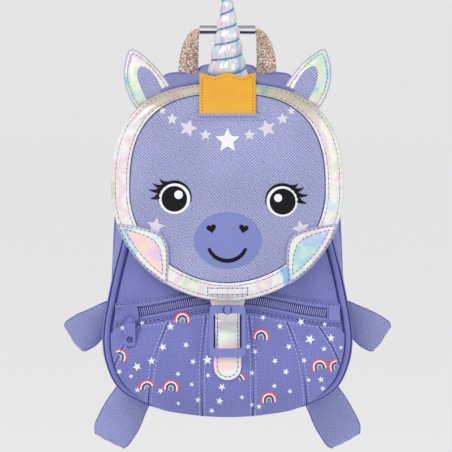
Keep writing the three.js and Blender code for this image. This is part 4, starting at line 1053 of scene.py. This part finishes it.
# Ears
EAR_TILT, EAR_HEIGHT, EAR_WIDTH, EAR_THICK, EAR_LEAN = math.radians(24), 36.0, 30.0, 6.0, 0.2
ear_rows = ((.05, 1.02), (.22, .9), (.42, .63), (.5, .35), (.5, .08), (.42, -.12), (.05, -.16),
            (-.36, -.12), (-.42, .05),
            (-.37, .3), (-.3, .52), (-.13, .84))
ear_curve = Curve([(a * EAR_WIDTH, u * EAR_HEIGHT) for a, u in ear_rows], True)
ear_base = [float(v) for v in flap_line(0.1)]
EAR_PLANE = float(flap_face(*ear_base)) + CLOTH + GAP + EAR_THICK / 2


def ear_xz(point):
    return (ear_base[0] + point[..., 0] * math.cos(EAR_TILT) + point[..., 1] * math.sin(EAR_TILT),
            ear_base[1] + point[..., 1] * math.cos(EAR_TILT) - point[..., 0] * math.sin(EAR_TILT))


ear_outline = np.stack(ear_xz(ear_curve.at(np.arange(120) / 120)), -1)
ear_middle = np.stack(ear_xz(np.array((0.06 * EAR_WIDTH, 0.36 * EAR_HEIGHT))), -1)
ear_polar = Polar(ear_outline, ear_middle)


def ear_half(x, z):
    s = np.minimum(1, ear_polar.share(x, z))
    return np.maximum(0.5, 3.1 * np.sqrt(1 - s**3)) - 1.0 * np.exp(-((s - 0.84) / 0.05) ** 2)


def ear_front(x, z):
    return EAR_PLANE + EAR_LEAN * (z - ear_base[1]) - ear_half(x, z)


inner_px = np.array(((314.4, 66.2), (317.6, 71.7), (317.2, 79), (313.5, 89), (308, 100), (302, 110),
                     (290, 104), (287, 100), (293, 89),
                     (299, 77.5), (306, 69.5)))
ix, _, iz = pin(inner_px[:, 0], inner_px[:, 1], lambda x, z: EAR_PLANE + EAR_LEAN * (z - ear_base[1]) - 3)
ear_inner = Curve(join(ix, iz), True).at(np.arange(90) / 90)
for word, sign in (("left", -1), ("right", 1)):
    ear = Piece(f"ear_{word}_padded")
    s = np.linspace(0, 1, 22)[None, :, None]
    xz = ear_middle + s * (ear_outline[:, None] - ear_middle)
    x, z = xz[..., 0], xz[..., 1]
    plane = EAR_PLANE + EAR_LEAN * (z - ear_base[1])
    h = ear_half(x, z)
    flip = np.array((sign, 1, 1))
    ear.shell(join(x, plane - h, z) * flip, join(x, plane + h, z) * flip, True)
    rim = join(ear_outline[:, 0], EAR_PLANE + EAR_LEAN * (ear_outline[:, 1] - ear_base[1]),
               ear_outline[:, 1])
    ear.tube(rim * flip, 0.75, 8, True, look=3)
    ring = ear_middle + (ear_outline - ear_middle) * 0.86
    path = join(ring[:, 0], ear_front(ring[:, 0], ring[:, 1]) - 0.05, ring[:, 1])
    sew(ear, path * flip, (0, -1, 0.2), pitch=3.0, length=2.1, radius=0.3, thread=1, holes=2, closed=True)
    made = ear.build([ear_film, thread_grey, hole_dark, thread_grey], slot="ear_film",
                     replaces=[f"ear_{word}"])
    inner_pad = Piece(f"ear_{word}_lining")
    mid = ear_inner.mean(0)
    s = np.linspace(0, 1, 12)[None, :, None]
    xz = mid + s * (ear_inner[:, None] - mid)
    x, z, q = xz[..., 0], xz[..., 1], s[..., 0] + 0 * xz[..., 0]
    y = ear_front(x, z)
    inner_pad.shell(join(x, y - 0.75 + 0.5 * smooth(q, 0.85, 1), z) * flip, join(x, y + 0.3, z) * flip,
                    True)
    inner_pad.build(flap_cloth, slot="flap_cloth", replaces=[f"ear_inner_{word}"])

# Handle
corner = HANDLE_SPAN - GRIP_LENGTH / 2
half_handle = ([(HANDLE_SPAN, BAG_TOP - 9)]
               + [(HANDLE_SPAN - i * corner, GRIP_LEVEL - b * corner) for i,
                  b in ((0, 3), (.05, 2.4), (.26, 1.16), (.5, .5), (.8, .1))]
               + [(GRIP_LENGTH / 2, GRIP_LEVEL), (GRIP_LENGTH / 4, GRIP_LEVEL)])
handle_line = Curve([(-x, 0, z) for x, z in half_handle] + [(x, 0, z) for x, z in reversed(half_handle)])
al, ac = lattice(np.linspace(0, 1, 260), np.linspace(-0.5, 0.5, 15))
p, t = handle_line.at(al), handle_line.heading(al)
inward = join(t[..., 2], 0 * al, -t[..., 0])
depth = np.array((0, -1.0, 0))
twist = np.pi / 2 * (1 - np.sqrt(np.clip((GRIP_LEVEL - p[..., 2]) / 44, 0, 1)))


def web_layer(thick):
    wide = WEB_WIDTH * ac
    bead = thick * (1 - 0.35 * smooth(np.abs(ac), 0.42, 0.5))
    return (p + inward * (wide * np.cos(twist) - bead * np.sin(twist))[..., None]
            + depth * (wide * np.sin(twist) + bead * np.cos(twist))[..., None])


Piece("handle_webbing").shell(web_layer(WEB_THICK / 2), web_layer(-WEB_THICK / 2)).build(
    glitter, slot="glitter_web", replaces=["handle_web"])

# Zip
zx = np.linspace(-ZIP_HALF + 1, ZIP_HALF - 1, 260)
al, q = lattice(zx, np.concatenate((np.linspace(-9, -2.2, 16), np.linspace(-1.8, 1.8, 7),
                                    np.linspace(2.2, 7, 13))))
tz = zip_height(al) + q
lip = 1.9 * np.exp(-((np.abs(q) - 4.5) / 1.4) ** 2) + 0.4
ty = front_face(al, tz) - 0.7 - lip + 0.15 * wrinkle(al, tz * 2, 41, 14)
tape = Piece("zip_tape_cloth")
tape.shell(join(al, ty, tz), join(al, front_face(al, tz) + 0.3, tz))
for off, lift in ((6.2, 1.5), (-7.6, 1.4)):
    sew_on(tape, zx, zip_height(zx) + off, front_face, lift, pitch=3.0, length=2.1, radius=0.32, thread=1)
tape.build([side_cloth, dark_seam_and_painted_shade], slot="bag_cloth", replaces=["zip_tape"])

zip_rows = Piece("zip_teeth")
left_x, right_x = -ZIP_HALF * 0.93, ZIP_HALF * 0.87
cx, cq = lattice(np.linspace(left_x, right_x, 160), np.linspace(-2.9, 2.9, 5))
cz = zip_height(cx) + cq
zip_rows.shell(join(cx, front_face(cx, cz) - 2.3, cz), join(cx, front_face(cx, cz) - 1.4, cz), look=1)
tooth_x = np.arange(left_x + 0.8, right_x - 0.4, 1.45)
for side in (-1, 1):
    x0 = tooth_x + (0.36 if side > 0 else -0.36)
    z0 = zip_height(x0) + side * 1.25
    centre = join(x0, front_face(x0, z0) - 2.9, z0)
    up = np.broadcast_to(np.array((0.12 * side, 0, 1.0)), centre.shape)
    zip_rows.stamp(centre, up / np.linalg.norm(up, axis=1)[:, None],
                   np.broadcast_to(np.array((0, -1.0, 0)), centre.shape),
                   (1.65, 0.42, 0.75), look=0)
zip_rows.build([zip_nylon, zip_dark], slot="zip_nylon", replaces=["zip_coil"])

end_x, end_q = lattice(np.linspace(right_x + 0.3, right_x + 9.5, 14), np.linspace(-5, 5, 14))
end_z = zip_height(end_x) + end_q
tab_piece = Piece("zip_end_cloth")
tab_piece.shell(join(end_x, front_face(end_x, end_z) - 3.7, end_z),
                join(end_x, front_face(end_x, end_z) - 0.4, end_z))
zr = np.linspace(-4.6, 4.6, 20)
sew_on(tab_piece, np.full(20, right_x + 1.2), zip_height(right_x + 1.2) + zr, front_face, 3.75, pitch=2.4,
       length=1.7, radius=0.3, thread=1)
tab_piece.build([bag_cloth, dark_seam_and_painted_shade], slot="bag_cloth", replaces=["zip_end_tab"])

# Pocket
al, dn = lattice(np.linspace(-1, 1, 361),
                 np.concatenate((np.linspace(0, 0.9, 72), np.linspace(0.91, 1, 24))))
pocket_grid = pocket_point(al, dn)
pocket = Piece("pocket_cloth").shell(pocket_grid, pocket_point(al, dn, CLOTH)).build(
    print_cloth, slot="print_cloth", replaces=["pocket_panel"])

pocket_sewing = Piece("pocket_stitches_and_painted_seam_shade")
for sign in (-1, 1):
    for edge, _ in SEAMS[:3]:
        for shift in (-0.018, 0.018):
            d = np.linspace(0.03, 0.97, 120)
            line = pocket_point(sign * (edge + shift) + 0 * d, d)
            sew(pocket_sewing, line + np.array((0, -0.1, 0)),
                lambda p: normal_of(pocket_face, p[:, 0], p[:, 2]), pitch=2.9, length=2.0,
                radius=0.27, thread=0)
        # A dark tube along each pleat seam: painted shade in the pleat's crease
        line = pocket_point(sign * edge + 0 * d, d)
        pocket_sewing.tube(line + np.array((0, 0.05, 0)), 0.42, 6, look=1)
a = np.linspace(-0.97, 0.97, 400)
top_line = pocket_point(a, 0.035 + 0 * a)
sew(pocket_sewing, top_line + np.array((0, -0.1, 0)), lambda p: normal_of(pocket_face, p[:, 0], p[:, 2]),
    pitch=2.9, length=2.0,
    radius=0.27, thread=0)
pocket_sewing.build([thread_pale, dark_seam_and_painted_shade], slot="print_cloth")

pocket_print = Piece("pocket_print")
for k, (px_, py_, r_) in enumerate((
        (170.5, 326.6, 3.8), (162.7, 347, 3.8), (186, 345, 3), (151.6, 361, 3.8), (137, 366.7, 4.2),
            (193, 361.6, 3), (207.4, 360, 4.6),
        (178, 374, 2.6), (191.7, 384.4, 2.4), (208, 375.4, 2.4), (221.9, 387, 3.6), (219.6, 401, 3.6),
            (242, 397.3, 2.4),
        (211.8, 410.7, 2.8), (198, 400, 2.8), (178.3, 403.3, 2.2), (160.5, 391, 3), (137.5, 390, 2.8),
            (131, 376.3, 2.4),
        (119.2, 371.7, 2.8), (122.5, 327.7, 2.8), (142, 323, 2.8), (263, 317.6, 2.8), (280, 326.3, 3),
            (301, 321.9, 3.6),
        (310, 339.3, 4.8), (331, 338, 3.8), (288.8, 346.7, 3), (304, 360.5, 2.8), (324, 348.9, 2.8),
            (275, 361, 3), (286, 371.7, 3.2),
        (274.3, 386, 2.6), (290, 391.3, 2.6), (308.5, 380, 2.4), (321, 379.5, 3.2), (322.8, 388.4, 2.8),
            (252, 372.8, 2.8),
        (248.2, 346.7, 2.8), (255, 351.6, 2.8), (259, 406.7, 2.8), (252, 404.7, 2.4), (341, 347.5, 2.2),
            (324.6, 324.3, 2.4))):
    ink(pocket_print, star(px_, py_, r_ * 1.12, (k * 47) % 72, 0.42), (px_, py_), pocket_face, 0.16, 0, 2)
BANDS = ((7.5, 0.85, 1), (5.85, 0.75, 0), (4.3, 0.8, 2), (2.3, 0.6, 3))
for px_, py_, lean, part in ((261, 337, 4, (0, 1)), (171, 388, 8, (0, 1)), (269, 400, -4, (0, 1)),
                             (319.6, 367, -14, (0, 1)),
                             (336.4, 367, -18, (0, 0.62)), (119, 357, 16, (0.3, 1)),
                             (147, 388, 10, (0, 0.8)), (182.4, 320, 0, (0, 1)),
                             (237.5, 380, -24, (0.72, 1))):
    for radius, half, look in BANDS:
        a = np.linspace(np.pi, 0, 33)
        leg = np.linspace(2.6, 0, 4)[:-1]
        line = np.concatenate((join(-radius + 0 * leg, leg), join(radius * np.cos(a), -radius * np.sin(a)),
                               join(radius + 0 * leg, leg[::-1])))
        cut = slice(int(part[0] * len(line)), max(int(part[1] * len(line)), 3))
        c, s = math.cos(math.radians(lean)), math.sin(math.radians(lean))
        turned_line = join(px_ + line[:, 0] * c - line[:, 1] * s,
                           py_ + line[:, 0] * s + line[:, 1] * c)[cut]
        ink_stroke(pocket_print, turned_line, half, pocket_face, 0.16, look)
pocket_print.build([ink_white, ink_red, ink_navy, ink_tan], slot="print_cloth", sharp=35)

# Closure
tip, top = BAG_TOP - BUCKLE_DROP - STRAP_TAIL, FLAP_FOOT + 14
al, ac = lattice(np.linspace(0, 1, 140), np.linspace(-0.5, 0.5, 27))
rounding = STRAP_WIDTH / 2 * (1 - np.sqrt(1 - 4 * ac**2))
sz = lerp(tip + rounding, top, al)
flare = smooth(sz, BAG_TOP - BUCKLE_DROP - 5.9, FLAP_FOOT)
inside = smooth(sz, -223.5, -220.5) * (1 - smooth(sz, -199.5, -196.5))
sx = ac * (lerp(STRAP_WIDTH, 24.4, flare) - 2.2 * inside)
crease = 0.5 * np.exp(-((sz + 207 + 0.25 * sx) / 1.6) ** 2)
bow = 0.9 * (1 - (2 * ac) ** 2) * smooth(-sz, 194, 204)
sy = strap_back(sz)
strap = Piece("closure_strap_film")
strap.shell(join(sx, sy - 1.6 - bow + crease, sz), join(sx, sy, sz))
strap_face = lambda x, z: strap_back(z) - 1.6 - 0.9 * (1 - (x / 9.6) ** 2).clip(0) * smooth(-z, 194, 204)
a = np.linspace(0, np.pi, 30)
edge_x = np.concatenate((np.full(50, -7.2), -7.2 * np.cos(a), np.full(50, 7.2)))
edge_z = np.concatenate((np.linspace(-192, tip + 9.6, 50), tip + 9.6 - 7.2 * np.sin(a),
                         np.linspace(tip + 9.6, -192, 50)))
sew_on(strap, edge_x, edge_z, strap_face, 0.05, pitch=3.2, length=2.2, radius=0.3, thread=1, holes=2)
# Dark tubes along the strap's sides inside the buckle's window: painted shadow in the gaps between strap
# and frame
for side in (-1, 1):
    painted_gap_shadow_z = np.linspace(-220.5, -199.5, 30)
    painted_gap_shadow_x = np.full(30, side * (STRAP_WIDTH / 2 - 0.5))
    strap.tube(join(painted_gap_shadow_x, strap_back(painted_gap_shadow_z) - 0.9, painted_gap_shadow_z), 0.55, 6, look=3)
strap.build([strap_film, thread_grey, hole_dark, dark_seam_and_painted_shade], slot="strap_film", replaces=["closure_strap"])


# Stuffed arms and legs
LIMB_ROWS = np.array(((0, .92, .6), (.2, .96, .9), (.45, 1, 1), (.68, 1, .95), (.86, .98, .72),
                      (.96, .86, .45), (1, .66, .2)))


def limb_point(sign, turn, heading, length, width, along, angle, radius=1.0):
    root = gusset_point(turn, 0.5, GAP)
    spread = np.interp(along, LIMB_ROWS[:, 0], LIMB_ROWS[:, 1]) * width / 2
    fill = np.interp(along, LIMB_ROWS[:, 0], LIMB_ROWS[:, 2]) * 6.5
    across, deep = radius * np.sin(angle) * spread, radius * np.cos(angle) * fill
    seat = gusset_point(turn + across / back_line.length, 0.5 + deep / BAG_DEPTH, GAP - 0.8)
    plane_x, plane_z = across * math.sin(heading), -across * math.cos(heading)
    hold = (1 - along) ** 2
    x = root[0] + plane_x + (seat[..., 0] - root[0] - plane_x) * hold + along * length * math.cos(heading)
    z = root[2] + plane_z + (seat[..., 2] - root[2] - plane_z) * hold + along * length * math.sin(heading)
    return join(sign * x, seat[..., 1], z)


def swell(made, pinned, cap, pressure=4.0):
    """Remeshes a stuffed piece and blows it up with Cloth, its sewn end held."""
    scene = bpy.context.scene
    remesh = made.modifiers.new("remesh", "REMESH")
    remesh.mode, remesh.voxel_size = "VOXEL", 0.0032
    graph = bpy.context.evaluated_depsgraph_get()
    mesh = bpy.data.meshes.new_from_object(made.evaluated_get(graph))
    made.modifiers.clear()
    looks = list(made.data.materials)
    made.data = mesh
    mesh.materials.clear()
    for look in looks:
        mesh.materials.append(look)
    rest = np.array([v.co for v in mesh.vertices])
    group = made.vertex_groups.new(name="sewn")
    for i in np.nonzero(pinned(rest / MM))[0]:
        group.add([int(i)], 1.0, "REPLACE")
    cloth = made.modifiers.new("cloth", "CLOTH")
    settings = cloth.settings
    settings.use_pressure, settings.uniform_pressure_force = True, pressure
    settings.vertex_group_mass = "sewn"
    settings.tension_stiffness = settings.compression_stiffness = 12
    settings.shrink_min = -0.06
    settings.effector_weights.gravity = 0
    for frame_number in range(1, 21):
        scene.frame_set(frame_number)
    graph = bpy.context.evaluated_depsgraph_get()
    blown = np.array([v.co for v in made.evaluated_get(graph).data.vertices])
    made.modifiers.clear()
    scene.frame_set(1)
    move = blown - rest
    size = np.linalg.norm(move, axis=1)[:, None] + 1e-12
    move *= np.minimum(1, cap * MM / size)
    blown = rest + move
    ends = np.array([e.vertices for e in mesh.edges])
    degree = np.bincount(ends.ravel(), minlength=len(blown))[:, None]
    for _ in range(8):
        total = np.zeros_like(blown)
        np.add.at(total, ends[:, 0], blown[ends[:, 1]])
        np.add.at(total, ends[:, 1], blown[ends[:, 0]])
        blown = (blown + total / degree) / 2
    mesh.vertices.foreach_set("co", blown.astype(np.float32).ravel())
    write_flat(mesh)
    smooth_more = made.modifiers.new("smooth", "SUBSURF")
    smooth_more.levels = smooth_more.render_levels = 1


def write_flat(mesh):
    co = np.zeros(len(mesh.vertices) * 3, np.float32)
    mesh.vertices.foreach_get("co", co)
    co = co.reshape(-1, 3)
    cloth = mesh.attributes.get("cloth") or mesh.attributes.new("cloth", "FLOAT_VECTOR", "POINT")
    cloth.data.foreach_set("vector", np.column_stack((co[:, 0], co[:, 2], 0 * co[:, 0])).ravel())
    mesh.polygons.foreach_set("use_smooth", [True] * len(mesh.polygons))
    mesh.update()


for word, sign in (("left", -1), ("right", 1)):
    for kind, drop, heading, length, width in (("arm", 174, -33, 32, 30), ("leg", 232.5, -62, 42, 33)):
        turn = float(back_line.turn_at(BAG_TOP - drop))
        heading = math.radians(heading)
        al, an = lattice(np.linspace(0, 1, 60), np.arange(64) / 64 * TAU)
        skin = limb_point(sign, turn, heading, length, width, al, an)
        skin[..., 1] += 0.45 * wrinkle(skin[..., 0], skin[..., 2], 51, 15) * np.sin(np.pi * al)
        made = Piece(f"{kind}_{word}_stuffed").capped(skin).build(
            limb_cloth, slot="limb_cloth", replaces=[f"{kind}_{word}"])
        root = skin[0].mean(0)
        swell(made, lambda p: np.linalg.norm(p - root, axis=1) < 11, 3.0)
        spots = np.array([v.co for v in made.data.vertices]) / MM
        seam = Piece(f"{kind}_{word}_seam")
        for turn_side in (np.pi / 2, -np.pi / 2):
            run = np.linspace(0.04, 1, 60)
            path = limb_point(sign, turn, heading, length, width, run, turn_side + 0 * run, 1.01)
            near = np.argsort(np.linalg.norm(spots[None] - path[:, None], axis=2), axis=1)[:, :3]
            path = spots[near].mean(1)
            for _ in range(25):
                path[1:-1] = (path[:-2] + 2 * path[1:-1] + path[2:]) / 4
            seam.tube(path, 0.6, 6)
        seam.build(piping_look, slot="limb_cloth")

# Shoulder straps
PAD_ROWS = ((0, 0, 0), (.05, .01, .03), (.16, .5, .12), (.36, .93, .4), (.6, 1, .7), (.85, .8, .92),
            (1, .62, 1))


def strap_line(sign):
    return Curve([(sign * lerp(27, 40, s), BACK_FACE + GAP + 3 + 40 * o, BAG_TOP - 14 - 158 * a) for a, o,
                  s in PAD_ROWS])


def strap_grid(line, along, across, width, out):
    p, t = line.at(along), line.heading(along)
    away = join(0 * along, -t[..., 2], t[..., 1])
    away /= np.linalg.norm(away, axis=-1)[..., None]
    return p + join(width * across, 0 * along, 0 * along) + away * np.asarray(out)[..., None]


def tail_point(sign, down, out):
    line = strap_line(sign)
    t = line.heading(1.0)
    away = np.array((0, -t[2], t[1]))
    return line.at(1.0) + t * down + away / np.linalg.norm(away) * out


for word, sign in (("left", -1), ("right", 1)):
    line = strap_line(sign)
    al, ac = lattice(np.linspace(0, 1, 180), np.linspace(-0.5, 0.5, 33))
    taper = smooth(al, 0.87, 0.93)
    width = lerp(34, 14, taper)
    edge = np.abs(2 * ac)
    groove = np.exp(-((edge - 0.86) / 0.05) ** 2) * (1 - taper)
    thick = lerp(3.0, 0.7, taper) * np.sqrt(np.clip(1 - edge**5, 0.06, 1)) - 0.8 * groove
    flat = join(ac * 34, al * line.length)
    pad = Piece(f"shoulder_pad_{word}_padded")
    pad.shell(strap_grid(line, al, ac, width, thick), strap_grid(line, al, ac, width, -thick), flat=flat)
    for side in (-1, 1):
        run = np.linspace(0.0, 0.87, 160)
        rim = strap_grid(line, run, 0.5 * side + 0 * run, 34.6 + 0 * run, 0 * run)
        pad.tube(rim, 1.35, 8, look=1, up=(0, 0.3, 1))
        for face_side in (1, -1):
            path = strap_grid(line, run, 0.43 * side + 0 * run, 34 + 0 * run, face_side * (2.05 + 0 * run))
            sew(pad, path, (0, face_side, 0.05), pitch=3.2, length=2.2, radius=0.3, thread=2)
    made = pad.build([back_mesh, piping_look, thread_pale], slot="bag_cloth",
                     replaces=[f"shoulder_pad_{word}"])
    rise = 1.5 * 1.4 + 2 * GAP + 3
    foot_at = np.array((sign * 58, BACK_FACE + GAP + 0.7, BAG_TOP - 0.87 * BAG_HEIGHT))
    start_at, leave = tail_point(sign, -8.5, rise), tail_point(sign, 8.5, rise)
    before = foot_at + np.array((0, 0.7, 9))
    web_line = Curve([start_at, leave, (leave + before) / 2, before, foot_at])
    al, ac = lattice(np.linspace(0, 1, 90), np.linspace(-0.5, 0.5, 11))
    web = Piece(f"lower_web_{word}_cloth")
    web.shell(strap_grid(web_line, al, ac, 14, 0.7 + 0 * al),
              strap_grid(web_line, al, ac, 14, -0.7 + 0 * al),
              flat=join(ac * 14, al * web_line.length))
    web.build(web_cloth, slot="lilac_web", replaces=[f"lower_web_{word}"])

# Moulded and metal parts keep their own solids, with rounded edges
for node, look, slot, width in (
        ("handle_grip", chrome, "grip_chrome", 0.35), ("zip_slider", zip_plastic, "zip_plastic", 0.3),
            ("zip_puller", zip_plastic, "zip_plastic", 0.25),
        ("buckle_frame", plastic, "buckle_plastic", 0.8), ("buckle_prong", plastic, "buckle_plastic", 0.4),
        ("adjuster_left", plastic, "buckle_plastic", 0.4),
            ("adjuster_right", plastic, "buckle_plastic", 0.4)):
    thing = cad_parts[node]
    thing.data.materials.clear()
    thing.data.materials.append(look)
    bevel = thing.modifiers.new("edges", "BEVEL")
    bevel.width, bevel.segments, bevel.limit_method = width * MM, 3, "ANGLE"
    bevel.angle_limit = math.radians(40)
    for polygon in thing.data.polygons:
        polygon.use_smooth = True
    thing.data.set_sharp_from_angle(angle=math.radians(40))

# A dark ring round the prong's seat in the frame: painted shade in the gap
frame_front = min(v.co[1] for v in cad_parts["buckle_frame"].data.vertices) / MM
seat_x, _, seat_z = pin(np.array(227.3), np.array(310.0), lambda x, z: frame_front + 0 * x)
a = np.arange(48) / 48 * TAU
round_x = seat_x + 2.8 * np.sign(np.cos(a)) * np.abs(np.cos(a)) ** 0.8
seat = join(round_x, np.full(48, frame_front + 0.05), seat_z + 2.9 * np.sin(a))
Piece("prong_seat_painted_shade").tube(seat, 0.33, 6, True).build(dark_seam_and_painted_shade, slot="buckle_plastic")

# Camera, floor and light
camera = bpy.data.objects.new("camera", bpy.data.cameras.new("camera"))
bpy.context.scene.collection.objects.link(camera)
camera.data.sensor_width = 36
camera.data.lens = 36 * FOCAL / (2 * HALF_PICTURE)
camera.location = Vector(EYE * MM)
camera.rotation_euler = (Vector(TARGET * MM) - camera.location).to_track_quat("-Z", "Y").to_euler()
camera.data.clip_end = 60
bpy.context.scene.camera = camera

floor_mesh = bpy.data.meshes.new("floor")
floor_mesh.from_pydata([(-25, -25, -0.6), (25, -25, -0.6), (25, 25, -0.6), (-25, 25, -0.6)], [],
                       [(0, 1, 2, 3)])
floor = bpy.data.objects.new("floor", floor_mesh)
floor_look = Look("floor", Roughness=0.95, Specular_IOR_Level=0.1)
floor_look.set(floor_look.shader, {"Base_Color": (0.94, 0.94, 0.945, 1), "Emission_Color": (1, 1, 1, 1),
                                   "Emission_Strength": 0.042})
floor_mesh.materials.append(floor_look.material)
bpy.context.scene.collection.objects.link(floor)

world = bpy.data.worlds.new("studio")
bpy.context.scene.world = world
world.use_nodes = True
world.node_tree.nodes["Background"].inputs[0].default_value = (0.78, 0.78, 0.785, 1)
world.node_tree.nodes["Background"].inputs[1].default_value = 1.0


def area(name, place, size, power, aim=(0, -0.05, -0.14)):
    light = bpy.data.objects.new(name, bpy.data.lights.new(name, "AREA"))
    light.data.size, light.data.energy = size, power
    light.location = place
    light.rotation_euler = (Vector(aim) - Vector(place)).to_track_quat("-Z", "Y").to_euler()
    bpy.context.scene.collection.objects.link(light)


area("key", (-0.9, -1.3, 1.1), 0.9, 14)
area("fill", (1.3, -1.1, 0.3), 1.0, 4)
bpy.context.scene.view_settings.view_transform = "Standard"
